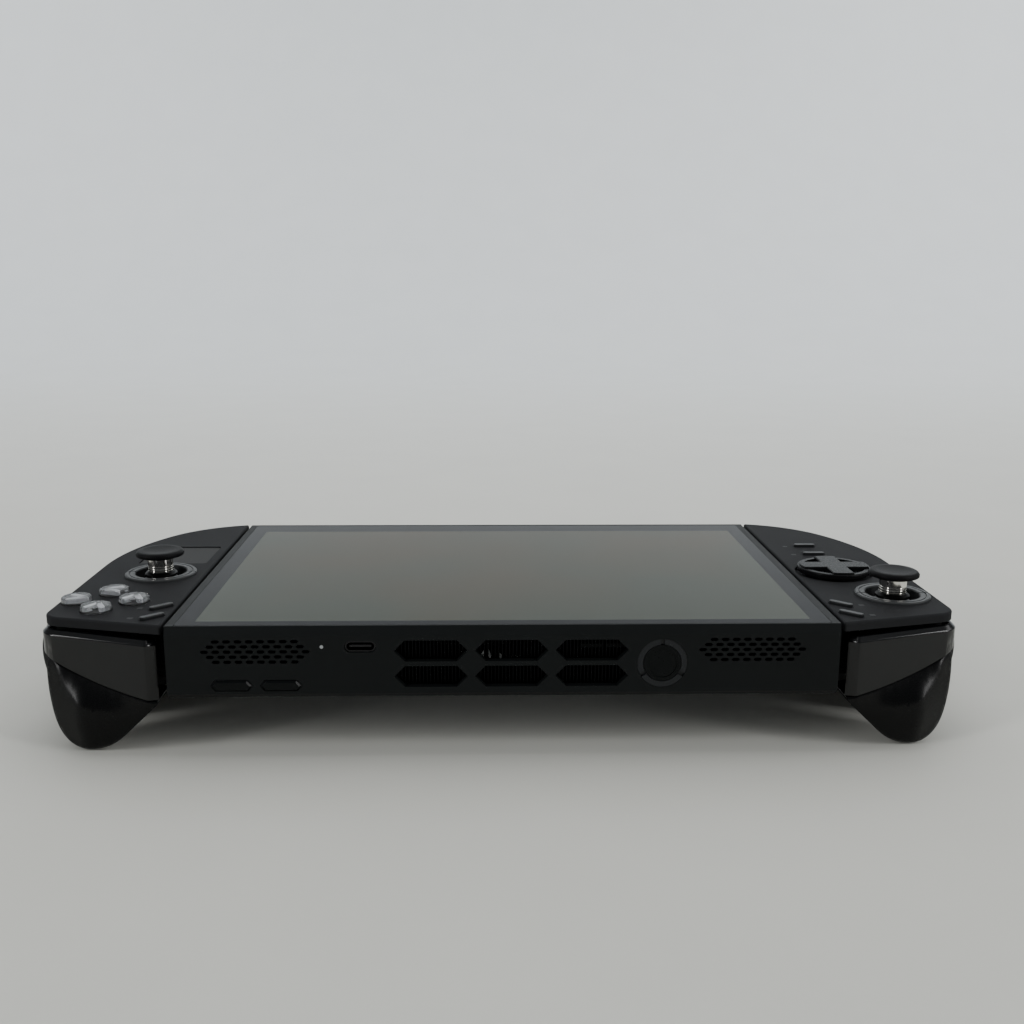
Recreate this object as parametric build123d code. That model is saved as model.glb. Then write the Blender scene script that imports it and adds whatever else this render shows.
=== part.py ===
from build123d import *
import math
import os

os.makedirs("parts", exist_ok=True)

# Handheld game console: a tablet with a sprung controller slid onto each side.
# Millimetres. X runs across the console, Y away from the edge with the vents, Z up from the table.
# The console lies on its back, screen up, on the flat soles of its two grips.
# Distances d are measured from the vented edge, heights h from the faces, so h is negative inside.
# Sub-parts are named from the player's side: the right controller is at -X, the left one at +X.

# Whole console
depth = 136.7
face_height = 42.25
tablet_width = 206.0
tablet_thickness = 22.95
side_bulge = 4.3
controller_gap = 1.4

# Fits
sliding_gap = 0.2
seat_gap = 0.15
running_gap = 0.05
cut_overrun = 5.0

# Housing of the tablet
edge_wall = 2.4
side_wall = 5.5
band_height = 2.8
band_lean = 0.9
bottom_bevel = 1.5
housing_corner_round = 0.9
glass_half_width = 100.35
glass_near = 1.7
glass_far_margin = 2.7
glass_thickness = 1.0
glass_rim_gap = 0.12
lip_half_width = 97.4
lip_near = 3.4
lip_far_margin = 4.6
lip_thickness = 1.8
cover_thickness = 2.6

# Display, battery and boards
display_half_width = 97.2
display_near = 3.6
display_far_margin = 5.2
display_thickness = 2.6
battery_half_width = 80.0
battery_length = 48.0
battery_far_margin = 10.7
battery_thickness = 12.0
battery_gap = 0.3
battery_corner = 2.0
battery_strap = 4.0
battery_cell_count = 3
board_thickness = 1.2
board_left = -58.0
board_right = 92.0
board_near = 15.5
board_far = 72.0
board_drop = 2.2
board_post_radius = 2.2
board_post_inset = 5.0
board_chip_height = 1.0
board_chip_size = 14.0
memory_chip_size = 9.0
memory_chip_pitch = 19.6

# Exhaust vents and the heat sink behind them
vent_length = 22.5
vent_height = 6.7
vent_point = 3.3
vent_pitch_x = 24.6
vent_pitch_z = 8.2
vent_centre_x = 1.9
vent_centre_drop = 12.05
fin_pitch = 1.1
fin_thickness = 0.3
fin_depth = 10.5
fin_field = 72.0
fin_top_drop = 3.9
fin_bottom_drop = 20.1
fin_plate = 0.7
pipe_width = 7.0
pipe_centre_x = 38.0
heat_plate_size = 30.0
heat_plate_d = 42.0

# Fan
fan_centre_x = -1.0
fan_centre_d = 39.5
fan_radius = 21.0
fan_hub_radius = 9.0
fan_height = 8.0
fan_blade_count = 23
fan_blade_thickness = 0.5
fan_blade_lean = 28.0
fan_case_wall = 1.0
fan_case_half = 23.5
fan_case_corner = 7.8
fan_case_top_drop = 9.5
fan_case_bottom_drop = 19.9
fan_intake_radius = 15.5
fan_spindle_radius = 1.5
fan_post_radius = 1.8
fan_post_inset = 2.4

# Speaker grilles
speaker_centre_x = 75.9
speaker_centre_drop = 8.0
speaker_row_counts = (8, 9, 10, 9, 8)
speaker_pitch_x = 3.4
speaker_pitch_z = 1.62
speaker_hole_length = 2.6
speaker_hole_height = 1.06
speaker_hole_point = 0.5
speaker_box_width = 35.0
speaker_box_height = 8.6
speaker_box_depth = 10.5
speaker_cone_radius = 3.2
speaker_cone_recess = 0.8

# Ports, light, power and volume buttons
port_width = 9.6
port_height = 3.7
port_wall = 0.45
port_rim_gap = 0.15
port_depth = 8.0
port_sink = 0.5
tongue_width = 6.7
tongue_thickness = 0.7
top_port_x = -44.1
top_port_drop = 6.5
far_port_drop = 11.5
light_x = -55.8
light_drop = 6.5
light_radius = 0.6
light_depth = 3.2
light_sink = 0.1
power_x = 48.2
power_drop = 12.3
power_ring_radius = 7.7
power_disc_radius = 5.8
power_ring_notch = 1.2
power_ring_notch_count = 3
power_ring_notch_depth = 0.6
power_flange_step = 0.3
power_dish_radius = 4.6
power_dish_depth = 0.25
flange_step = 0.8
flange_thickness = 0.8
flange_room = 1.0
menu_wall = 0.5
volume_length = 12.3
volume_height = 3.2
volume_point = 1.4
volume_up_x = -83.4
volume_down_x = -68.4
volume_drop = 18.8
volume_proud = 0.6
volume_bevel = 0.5

# Kickstand in the rear cover
stand_half_width = 84.0
stand_far_margin = 8.7
stand_length = 42.0
stand_thickness = 1.4
stand_recess = 1.7
stand_side_gap = 0.4
stand_hinge_room = 2.0
stand_corner = 4.0
stand_pin_radius = 0.5
stand_pin_length = 3.0
finger_notch_width = 22.0
finger_notch_length = 5.0
intake_slot_count = 13
intake_slot_width = 1.6
intake_slot_pitch = 3.1
intake_slot_length = 34.0

# Slide rails of the controllers, and their slots in the housing
rail_drop = 11.5
rail_near = 22.0
rail_length = 96.0
rail_neck_height = 3.0
rail_head_height = 6.0
rail_head_thickness = 1.8
rail_base_height = 8.0
rail_base_thickness = 1.5
slot_lip = 1.2

# Face plates of the controllers
plate_thickness = 2.9
plate_half_width = 143.5
plate_near = 1.4
plate_near_slope_share = 0.256
plate_corner = 7.0
plate_side_end = 72.0
plate_shoulder_inset = 12.2
plate_shoulder_run = 19.7
plate_edge_round = 0.7
plate_inner_round = 0.6
small_edge_round = 0.3

# Grips: outlines at five heights, each outer x, near d and far d
grip_near = 18.8
grip_wall = 2.0
grip_corner = 3.0
belly_drop = 13.0
belly_far_margin = 0.5
waist_bulge = 2.8
waist_far_margin = 3.7
handle_drop = 32.0
handle_inset = 0.2
handle_near = 24.5
handle_far_margin = 11.7
sole_inset = 6.5
sole_near = 35.0
sole_far_margin = 24.7
side_end_share = 0.443
shoulder_inset = 12.2
shoulder_run = 19.7
handle_inner = 112.5
sole_inner = 121.3
handle_edge_round = 2.5
pocket_floor_drop = 20.5

# Controller board
control_inner_x = 108.2
control_outer_x = 127.0
control_near = 76.0
control_far = 108.0

# Thumb sticks
stick_pivot_drop = 8.6
stick_well_radius = 10.1
stick_bore_radius = 8.75
stick_spigot_radius = 9.8
stick_ring_radius = 12.15
stick_ring_height = 0.9
stick_ring_bevel = 0.35
stick_ring_notch = 0.5
stick_groove_radius = 10.5
stick_groove_width = 0.4
stick_groove_depth = 0.3
dome_radius = 9.2
dome_wall = 1.2
dome_angle = 56.0
hub_radius = 3.4
hub_depth = 1.6
stem_radius = 2.0
stem_depth = 1.2
neck_radius = 3.0
neck_gap = 0.6
sleeve_radius = 4.35
sleeve_bottom = 1.3
sleeve_top = 6.3
sleeve_groove = 0.25
sleeve_groove_pitch = 0.8
sleeve_groove_count = 3
cap_radius = 8.1
cap_belly = 7.0
cap_belly_round = 0.4
cap_top = 8.8
cap_seat_radius = 6.2
cap_rim_radius = 5.9
cap_rim_round = 1.2
cap_dish_depth = 0.5
cap_spigot_radius = 2.5
cap_spigot_height = 1.2
yoke_inner_radius = 4.7
yoke_outer_radius = 6.4
yoke_half_height = 1.3
trunnion_radius = 0.8
base_half_x = 8.3
base_half_y = 7.4
base_clear_drop = 4.0
ear_thickness = 1.4
ear_half_width = 2.2
ear_rise = 1.4
right_stick_x = 120.0
right_stick_d = 60.3
left_stick_x = 129.6
left_stick_d = 30.6

# Buttons on the faces
face_button_radius = 4.7
face_button_proud = 2.0
face_button_round = 0.6
face_button_x = 128.6
face_button_d = 26.6
face_button_spread = 9.2
face_stem_arm = 1.2
pill_length = 8.1
pill_width = 2.3
pill_proud = 1.0
pill_round = 0.35
menu_x = 108.9
menu_far_d = 19.8
menu_near_d = 9.4
menu_turn = -43.0
quick_x = 119.0
quick_far_d = 96.9
quick_near_d = 84.3
pad_inner_x = 107.7
pad_near = 74.5
pad_size = 24.4
pad_sink = 0.3
pad_corner = 1.5

# D-pad
dpad_x = 118.9
dpad_d = 59.6
dpad_radius = 12.7
dpad_top = 2.9
dpad_thickness = 2.6
dpad_moat_gap = 0.75
dpad_moat_depth = 1.3
dpad_rim = 2.0
dpad_arm = 7.4
dpad_rim_drop = 0.6
dpad_well_depth = 0.9
dpad_round = 0.6
dpad_arm_round = 0.4
dpad_stem_radius = 3.2
dpad_hole_radius = 4.1
dpad_pivot_drop = 5.2
dpad_ring_inner_radius = 3.9
dpad_ring_outer_radius = 5.6
dpad_ring_half_height = 1.2
dpad_post_thickness = 1.4

# Bumpers
bumper_proud = 1.9
bumper_overhang = 0.8
bumper_inner = 106.3
bumper_bevel_x = 109.1
bumper_bevel_depth = 2.0
bumper_wall = 3.0
bumper_side_wall = 2.8
bumper_side_end = 17.6
bumper_corner = 7.0
bumper_top_inner_drop = 5.0
bumper_top_outer_drop = 3.8
bumper_edge_bevel = 1.3
bumper_edge_round = 0.45
crease_inner_drop = 24.2
crease_middle_x = 126.0
crease_middle_drop = 19.3
crease_outer_drop = 11.0
parting_gap = 0.3
peg_radius = 1.0
peg_drop = 7.2
peg_inner_x = 114.5
peg_outer_x = 134.0
peg_end = 17.2
bumper_travel = 0.8

# Triggers
trigger_pivot_d = 13.1
trigger_pivot_drop = 11.5
trigger_boss_radius = 2.6
trigger_pin_radius = 1.2
trigger_inner = 106.6
trigger_heel_drop = 25.2
trigger_outer = 142.9
trigger_edge_x = (110.6, 114.5, 119.6, 124.3, 128.0, 131.2, 134.0, 137.0, 139.3, 140.9, 141.9)
trigger_edge_drop = (29.2, 33.0, 37.8, 40.6, 41.4, 41.4, 40.6, 38.0, 33.7, 27.8, 22.2)
trigger_tip_drop = 41.7
trigger_ridge_x = 130.6
trigger_ridge_round = 9.0
trigger_top_drop = 9.0
trigger_shoulder_sink = 5.0
trigger_shoulder_outer_front = 12.5
trigger_bulge_drop = 25.5
trigger_bulge_rise = 4.2
trigger_bulge_inner_front = 0.6
trigger_crease_round = 0.5
trigger_relief_near = 13.8
trigger_relief_drop = 13.4
trigger_inner_front = 0.9
trigger_outer_front = 8.8
trigger_foot_front = 5.6
trigger_foot_outer_front = 9.8
trigger_back_top = 15.0
trigger_back_foot = 12.2
trigger_pocket_inner = 119.0
trigger_pocket_outer = 134.0
trigger_pocket_depth = 6.0
trigger_pocket_top_drop = 24.5
trigger_pocket_bottom_drop = 33.0
trigger_arm_inner = 112.4
trigger_arm_outer = 126.2
trigger_arm_width = 5.0

# Deck that carries bumper and trigger, under the front of the face plate
deck_top_drop = 5.2
deck_bottom_drop = 9.4
deck_near = 15.0
deck_inner = 108.0
deck_outer = 137.0
deck_rib_inner_x = 115.0
deck_rib_outer_x = 135.7
deck_rib_half = 1.2
deck_rib_depth = 2.5
deck_ear_width = 2.0
deck_ear_gap = 0.3
deck_ear_near = 11.0
deck_ear_reach = 2.9

# Buttons on the backs
release_x = 109.0
release_d = 42.0
release_length = 14.0
release_width = 5.0
release_proud = 0.4
release_travel = 1.2
rear_button_d = 64.0
rear_button_drop = 31.0
rear_button_length = 20.0
rear_button_width = 8.0
rear_button_thickness = 2.6
rear_button_proud = 0.9
rear_button_room = 1.2
rear_button_corner = 3.0
rear_button_round = 0.8

# Worked out from the sizes above
half_tablet = tablet_width / 2
inner_x = half_tablet + controller_gap
near_y = -depth / 2
glass_far = depth - glass_far_margin
display_far = depth - display_far_margin
battery_far = depth - battery_far_margin
battery_near = battery_far - battery_length
stand_hinge_d = depth - stand_far_margin - stand_length
plate_shoulder_d = depth - plate_shoulder_run
waist_far = depth - waist_far_margin
belly_far = depth - belly_far_margin
handle_far = depth - handle_far_margin
sole_far = depth - sole_far_margin
widest_reach = plate_half_width + side_bulge
plate_shoulder_x = plate_half_width - plate_shoulder_inset
waist_reach = plate_half_width + waist_bulge
handle_reach = plate_half_width - handle_inset
sole_reach = plate_half_width - sole_inset
bumper_reach = plate_half_width + bumper_overhang
cavity_half = half_tablet - side_wall
cover_top_drop = tablet_thickness - cover_thickness
display_bottom_drop = glass_thickness + display_thickness
board_top_drop = display_bottom_drop + board_drop
board_bottom_drop = board_top_drop + board_thickness
flange_top_drop = plate_thickness + seat_gap


def y_at(distance):
    return near_y + distance


def z_at(height):
    return face_height + height


def block(x_low, x_high, d_low, d_high, h_low, h_high):
    """Box between two x, two distances from the vented edge and two heights from the faces."""
    centre = Pos((x_low + x_high) / 2, y_at((d_low + d_high) / 2), z_at((h_low + h_high) / 2))
    return centre * Box(x_high - x_low, d_high - d_low, h_high - h_low)


def upright(x, d, h_low, h_high, radius):
    """Round post along Z."""
    return Pos(x, y_at(d), z_at((h_low + h_high) / 2)) * Cylinder(radius, h_high - h_low)


def cross_pin(d, h, x_low, x_high, radius):
    """Round pin along X."""
    return Pos((x_low + x_high) / 2, y_at(d), z_at(h)) * Rot(0, 90, 0) * Cylinder(radius, x_high - x_low)


def deep_pin(x, h, d_low, d_high, radius):
    """Round pin along Y."""
    return Pos(x, y_at((d_low + d_high) / 2), z_at(h)) * Rot(90, 0, 0) * Cylinder(radius, d_high - d_low)


def plan_prism(outline, h_low, h_high):
    """A flat outline drawn in x and y, raised between two heights."""
    return extrude(Pos(0, 0, z_at(h_low)) * outline, h_high - h_low, dir=(0, 0, 1))


def edge_prism(outline, d_low, d_high):
    """A flat outline drawn in x and height, run between two distances from the vented edge."""
    plane = Plane(origin=(0, y_at(d_high), face_height), x_dir=(1, 0, 0), z_dir=(0, -1, 0))
    return extrude(plane * outline, d_high - d_low)


def side_prism(outline, x_low, x_high):
    """A flat outline drawn in y and height, run between two x."""
    plane = Plane(origin=(x_low, 0, face_height), x_dir=(0, 1, 0), z_dir=(1, 0, 0))
    return extrude(plane * outline, x_high - x_low)


def pointed_slot(length, height, point):
    """Six-sided slot with a pointed left and right end."""
    half = length / 2
    return make_face(
        Polyline(
            (-half, 0),
            (point - half, height / 2),
            (half - point, height / 2),
            (half, 0),
            (half - point, -height / 2),
            (point - half, -height / 2),
            close=True,
        )
    )


def other_side(piece):
    """The same piece on the right controller."""
    return mirror(piece, about=Plane.YZ)


# Tablet


def grille_outline(centre_x):
    """Rows of pointed holes in front of one speaker."""
    hole = pointed_slot(speaker_hole_length, speaker_hole_height, speaker_hole_point)
    holes = []
    for row, count in enumerate(speaker_row_counts):
        height = ((len(speaker_row_counts) - 1) / 2 - row) * speaker_pitch_z - speaker_centre_drop
        for column in range(count):
            x = centre_x + (column - (count - 1) / 2) * speaker_pitch_x
            holes.append(Pos(x, height) * hole)
    return Sketch() + holes


def vent_outline():
    """Two rows of three exhaust vents."""
    vent = pointed_slot(vent_length, vent_height, vent_point)
    vents = []
    for row in (-1, 1):
        for column in (-1, 0, 1):
            place = Pos(vent_centre_x + column * vent_pitch_x, row * vent_pitch_z / 2 - vent_centre_drop)
            vents.append(place * vent)
    return Sketch() + vents


def rail_slot():
    """T-shaped slot in the side of the housing, open at the far edge."""
    slot_near = rail_near - sliding_gap
    neck = rail_neck_height / 2 + seat_gap
    head = rail_head_height / 2 + seat_gap
    lip_inside = half_tablet - slot_lip
    bottom = lip_inside - rail_head_thickness - 2 * seat_gap
    far = depth + cut_overrun
    throat = block(lip_inside, half_tablet + cut_overrun, slot_near, far, -rail_drop - neck, neck - rail_drop)
    return throat + block(bottom, lip_inside, slot_near, far, -rail_drop - head, head - rail_drop)


def tablet_housing():
    profile = make_face(
        Polyline(
            (y_at(band_lean), 0),
            (y_at(depth - band_lean), 0),
            (y_at(depth), -band_height),
            (y_at(depth), bottom_bevel - tablet_thickness),
            (y_at(depth - bottom_bevel), -tablet_thickness),
            (y_at(bottom_bevel), -tablet_thickness),
            (y_at(0), bottom_bevel - tablet_thickness),
            (y_at(0), -band_height),
            close=True,
        )
    )
    housing = side_prism(profile, -half_tablet, half_tablet)
    glass_x = glass_half_width + glass_rim_gap
    glass_room = (glass_near - glass_rim_gap, glass_far + glass_rim_gap)
    housing -= block(-glass_x, glass_x, *glass_room, -glass_thickness, cut_overrun)
    lip_bottom = -glass_thickness - lip_thickness
    lip_far = depth - lip_far_margin
    housing -= block(
        -lip_half_width, lip_half_width, lip_near, lip_far, lip_bottom - cut_overrun, cut_overrun
    )
    below = -tablet_thickness - cut_overrun
    housing -= block(-cavity_half, cavity_half, edge_wall, depth - edge_wall, below, lip_bottom)
    slot = rail_slot()
    housing -= slot
    housing -= mirror(slot, about=Plane.YZ)
    openings = grille_outline(speaker_centre_x) + grille_outline(-speaker_centre_x) + vent_outline()
    for x in (volume_up_x, volume_down_x):
        button = pointed_slot(volume_length + 2 * sliding_gap, volume_height + 2 * sliding_gap, volume_point)
        openings += Pos(x, -volume_drop) * button
    openings += Pos(power_x, -power_drop) * Circle(power_ring_radius + seat_gap / 2)
    openings += Pos(top_port_x, -top_port_drop) * port_slot(0)
    openings += Pos(light_x, -light_drop) * Circle(light_radius)
    inside = edge_wall + seat_gap
    housing -= edge_prism(openings, -cut_overrun, inside)
    housing -= edge_prism(Pos(0, -far_port_drop) * port_slot(0), depth - inside, depth + cut_overrun)
    return housing


def port_slot(shrink):
    """Round-ended outline of a port, smaller all round by the given amount."""
    return SlotOverall(port_width - 2 * shrink, port_height - 2 * shrink)


def cover_glass():
    glass = block(-glass_half_width, glass_half_width, glass_near, glass_far, -glass_thickness, 0)
    return fillet(glass.edges().filter_by(Axis.Z), housing_corner_round)


def display_panel():
    half = display_half_width
    return block(-half, half, display_near, display_far, -display_bottom_drop, -glass_thickness)


def battery_pack():
    bottom = battery_gap - cover_top_drop
    cell_gap = battery_corner
    pack = Part()
    width = (2 * battery_half_width - (battery_cell_count - 1) * cell_gap) / battery_cell_count
    for index in range(battery_cell_count):
        left = -battery_half_width + index * (width + cell_gap)
        cell = block(left, left + width, battery_near, battery_far, bottom, bottom + battery_thickness)
        pack += fillet(cell.edges().filter_by(Axis.Y), battery_corner)
    strap_near = battery_near + battery_corner
    strap_half = battery_half_width - width / 2
    strap_top = bottom + battery_thickness - battery_corner
    return pack + block(
        -strap_half, strap_half, strap_near, strap_near + battery_strap, bottom + battery_corner, strap_top
    )


def main_board():
    board = block(board_left, board_right, board_near, board_far, -board_bottom_drop, -board_top_drop)
    tongue_half = port_width / 2 + port_wall
    tongue_near = port_sink + port_depth
    board += block(
        top_port_x - tongue_half, top_port_x + tongue_half, tongue_near, board_near + board_thickness,
        -board_bottom_drop, -board_top_drop
    )
    for x in (board_left + board_post_inset, board_right - board_post_inset):
        for d in (board_near + board_post_inset, board_far - board_post_inset):
            board += upright(x, d, -board_top_drop, -display_bottom_drop, board_post_radius)
    chip_top = board_chip_height - board_top_drop
    half = board_chip_size / 2
    chip_x = (pipe_centre_x - half, pipe_centre_x + half)
    board += block(*chip_x, heat_plate_d - half, heat_plate_d + half, -board_top_drop, chip_top)
    for step in (1, 2):
        x = pipe_centre_x + step * memory_chip_pitch
        far = heat_plate_d + memory_chip_size
        board += block(x, x + memory_chip_size, heat_plate_d, far, -board_top_drop, chip_top)
    return board


def heat_sink():
    left = vent_centre_x - fin_field / 2
    near = edge_wall + seat_gap
    far = near + fin_depth
    sink = block(left, left + fin_field, near, far, -fin_top_drop - fin_plate, -fin_top_drop)
    sink += block(left, left + fin_field, near, far, -fin_bottom_drop, fin_plate - fin_bottom_drop)
    fins = []
    gaps = round(fin_field / fin_pitch)
    for index in range(gaps + 1):
        x = left + index * (fin_field - fin_thickness) / gaps
        fins.append(block(x, x + fin_thickness, near, far, -fin_bottom_drop, -fin_top_drop))
    sink += fins
    bar_top = -board_bottom_drop
    bar_bottom = bar_top - board_thickness
    half = heat_plate_size / 2
    plate_x = (pipe_centre_x - half, pipe_centre_x + half)
    sink += block(*plate_x, heat_plate_d - half, heat_plate_d + half, bar_bottom, bar_top)
    for x in (pipe_centre_x - half, pipe_centre_x - pipe_width):
        sink += block(x, x + pipe_width, near + fin_plate, heat_plate_d, bar_bottom, bar_top)
    return sink


def fan_housing():
    """Open-fronted case with a round intake below and three posts up to the board."""
    left = fan_centre_x - fan_case_half
    right = fan_centre_x + fan_case_half
    near = edge_wall + seat_gap + fin_depth + seat_gap
    far = fan_centre_d + fan_case_half
    top = -fan_case_top_drop
    bottom = -fan_case_bottom_drop
    case = block(left, right, near, far, bottom, top)
    case -= block(
        left + fan_case_wall, right - fan_case_wall, near - cut_overrun, far - fan_case_wall,
        bottom + fan_case_wall, top - fan_case_wall
    )
    floor_top = bottom + 2 * fan_case_wall
    case -= upright(fan_centre_x, fan_centre_d, bottom - cut_overrun, floor_top, fan_intake_radius)
    rounded = case.edges().filter_by(Axis.Z).group_by(Axis.Y)[-1]
    case = fillet(rounded, fan_case_corner)
    case += upright(fan_centre_x, fan_centre_d, floor_top, top - fan_case_wall, fan_spindle_radius)
    inset = fan_case_half - fan_post_inset
    for x, d in ((-inset, near + fan_post_inset), (inset, near + fan_post_inset), (0, far - fan_post_inset)):
        case += upright(fan_centre_x + x, d, top, -board_bottom_drop, fan_post_radius)
    return case


def fan_rotor():
    bottom = fan_case_wall + seat_gap - fan_case_bottom_drop
    bottom += (fan_case_bottom_drop - fan_case_top_drop - 2 * fan_case_wall - fan_height) / 2
    top = bottom + fan_height
    rotor = upright(fan_centre_x, fan_centre_d, bottom, top, fan_hub_radius)
    rotor += upright(fan_centre_x, fan_centre_d, top - fan_blade_thickness, top, fan_radius - fan_case_wall)
    blade_length = fan_radius - fan_hub_radius + fan_blade_thickness
    blade_root = Pos(0, fan_hub_radius - fan_blade_thickness)
    blade = blade_root * Rot(0, 0, fan_blade_lean) * Pos(0, blade_length / 2)
    blade = blade * Rectangle(fan_blade_thickness, blade_length)
    blades = Sketch() + [Rot(0, 0, 360 * index / fan_blade_count) * blade for index in range(fan_blade_count)]
    blades &= Circle(fan_radius)
    rotor += plan_prism(Pos(fan_centre_x, y_at(fan_centre_d)) * blades, bottom, top)
    bore_radius = fan_spindle_radius + running_gap
    return rotor - upright(fan_centre_x, fan_centre_d, bottom - cut_overrun, top + cut_overrun, bore_radius)


def speakers():
    """Two sealed speaker boxes, each with its cone facing the grille."""
    pair = Part()
    for centre in (-speaker_centre_x, speaker_centre_x):
        half = speaker_box_width / 2
        middle = -speaker_centre_drop
        box = block(
            centre - half, centre + half, edge_wall, edge_wall + speaker_box_depth,
            middle - speaker_box_height / 2, middle + speaker_box_height / 2 - seat_gap
        )
        box = fillet(box.edges().filter_by(Axis.Y), housing_corner_round)
        cone_far = edge_wall + speaker_cone_recess
        for x in (centre - half / 2, centre + half / 2):
            box -= deep_pin(x, middle, edge_wall - cut_overrun, cone_far, speaker_cone_radius)
        pair += box
    return pair


def port_shell():
    """Metal shell of a port with its tongue, its mouth at distance 0."""
    far = port_depth
    mouth = edge_prism(port_slot(port_rim_gap), 0, far)
    mouth -= edge_prism(port_slot(port_rim_gap + port_wall), -cut_overrun, far - port_wall)
    half = tongue_width / 2
    return mouth + block(-half, half, port_wall, far, -tongue_thickness / 2, tongue_thickness / 2)


def usb_c_ports():
    near_port = Pos(top_port_x, port_sink, -top_port_drop) * port_shell()
    far_port = mirror(port_shell(), about=Plane.XZ)
    far_port = Pos(0, -port_sink, -far_port_drop) * far_port
    return near_port + far_port


def status_light():
    return deep_pin(light_x, -light_drop, light_sink, light_depth, light_radius - running_gap)


def power_ring():
    """Ring round the power button, notched at twelve, four and eight o'clock."""
    centre = Pos(power_x, -power_drop)
    bore = Circle(power_disc_radius + seat_gap)
    back = edge_wall + flange_thickness
    ring = edge_prism(centre * (Circle(power_ring_radius) - bore), seat_gap, back)
    ring += edge_prism(centre * (Circle(power_ring_radius + power_flange_step) - bore), edge_wall, back)
    notch = Pos(0, power_ring_radius) * Rectangle(power_ring_notch, power_ring_radius)
    turn = 360 / power_ring_notch_count
    notches = Sketch() + [Rot(0, 0, turn * index) * notch for index in range(power_ring_notch_count)]
    notches &= Circle(power_ring_radius + running_gap)
    return ring - edge_prism(centre * notches, -cut_overrun, seat_gap + power_ring_notch_depth)


def power_button():
    centre = Pos(power_x, -power_drop)
    behind = edge_wall + flange_thickness + seat_gap
    disc = edge_prism(centre * Circle(power_disc_radius), seat_gap, behind + flange_thickness)
    disc += edge_prism(centre * Circle(power_disc_radius + flange_step), behind, behind + flange_thickness)
    return disc - edge_prism(centre * Circle(power_dish_radius), -cut_overrun, seat_gap + power_dish_depth)


def volume_button(x):
    centre = Pos(x, -volume_drop)
    outline = centre * pointed_slot(volume_length, volume_height, volume_point)
    cap = edge_prism(outline, -volume_proud, edge_wall)
    front = cap.faces().sort_by(Axis.Y)[0]
    cap = chamfer(front.edges(), volume_bevel)
    back = edge_wall + seat_gap
    flange = pointed_slot(volume_length + 2 * flange_step, volume_height + 2 * flange_step, volume_point)
    cap += edge_prism(centre * flange, back, back + flange_thickness)
    return cap + edge_prism(outline, edge_wall, back)


def rear_cover():
    cover = block(
        sliding_gap - cavity_half, cavity_half - sliding_gap, edge_wall + sliding_gap,
        depth - edge_wall - sliding_gap, -tablet_thickness, -cover_top_drop
    )
    cover = fillet(cover.edges().filter_by(Axis.Z), housing_corner_round)
    recess_half = stand_half_width + stand_side_gap
    cover -= block(
        -recess_half, recess_half, stand_hinge_d - stand_hinge_room,
        stand_hinge_d + stand_length + stand_side_gap,
        -tablet_thickness - cut_overrun, stand_recess - tablet_thickness
    )
    half_notch = finger_notch_width / 2
    notch_near = stand_hinge_d + stand_length - stand_side_gap
    cover -= block(
        -half_notch, half_notch, notch_near, notch_near + finger_notch_length + stand_side_gap,
        -tablet_thickness - cut_overrun, stand_recess - tablet_thickness
    )
    pin_reach = stand_half_width + stand_pin_length + stand_side_gap
    cover -= cross_pin(
        stand_hinge_d, stand_hinge_height(), -pin_reach, pin_reach, stand_pin_radius + running_gap
    )
    notch_near = edge_wall + flange_thickness + flange_room
    notch_half = volume_length / 2 + 2 * flange_step
    notch_bottom = -volume_drop - volume_height / 2 - flange_step - sliding_gap
    for x in (volume_up_x, volume_down_x):
        cover -= block(x - notch_half, x + notch_half, 0, notch_near, notch_bottom, -band_height)
    slot = Pos(fan_centre_x, y_at(fan_centre_d)) * GridLocations(intake_slot_pitch, 0, intake_slot_count, 1)
    one_slot = SlotOverall(intake_slot_length, intake_slot_width, rotation=90)
    slots = Sketch() + [place * one_slot for place in slot]
    return cover - plan_prism(slots, -tablet_thickness - cut_overrun, cut_overrun - cover_top_drop)


def stand_hinge_height():
    return stand_recess / 2 - tablet_thickness


def kickstand():
    """Leaf that lies flush in the rear cover and turns on two pins."""
    middle = stand_hinge_height()
    half = stand_thickness / 2
    near = stand_hinge_d
    far = stand_hinge_d + stand_length
    leg = block(-stand_half_width, stand_half_width, near, far, middle - half, middle + half)
    leg = fillet(leg.edges().filter_by(Axis.Z).group_by(Axis.Y)[-1], stand_corner)
    leg += cross_pin(stand_hinge_d, middle, -stand_half_width, stand_half_width, half)
    reach = stand_half_width + stand_pin_length
    return leg + cross_pin(stand_hinge_d, middle, -reach, reach, stand_pin_radius)


# Controllers, drawn on the left controller's side and mirrored for the right one


def plate_near_at(x):
    """Distance of the face plate's near edge at a given x."""
    return plate_near + plate_near_slope_share * (x - inner_x)


def curved_outline(x_in, x_out, d_near, d_near_outer, d_side, shoulder, d_far, corner, inner_corner):
    """Outline with a straight inner side and two tangent arcs round the far outer corner."""
    near_inner = (x_in, y_at(d_near))
    near_outer = (x_out, y_at(d_near_outer))
    far_inner = (x_in, y_at(d_far))
    side_end = (x_out, y_at(d_side))
    outer_arc = TangentArc(side_end, (shoulder[0], y_at(shoulder[1])), tangent=(0, 1))
    far_arc = TangentArc(outer_arc @ 1, far_inner, tangent=outer_arc % 1)
    sides = [Line(near_inner, near_outer), Line(near_outer, side_end), Line(far_inner, near_inner)]
    outline = make_face(Curve() + [outer_arc, far_arc] + sides)
    for point, radius in ((near_outer, corner), (near_inner, inner_corner), (far_inner, inner_corner)):
        nearest = outline.vertices().sort_by_distance((point[0], point[1], 0))[0]
        outline = fillet(nearest, radius)
    return outline


def plate_outline():
    return curved_outline(
        inner_x, plate_half_width, plate_near, plate_near_at(plate_half_width), plate_side_end,
        (plate_shoulder_x, plate_shoulder_d), depth, plate_corner, plate_inner_round
    )


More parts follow.
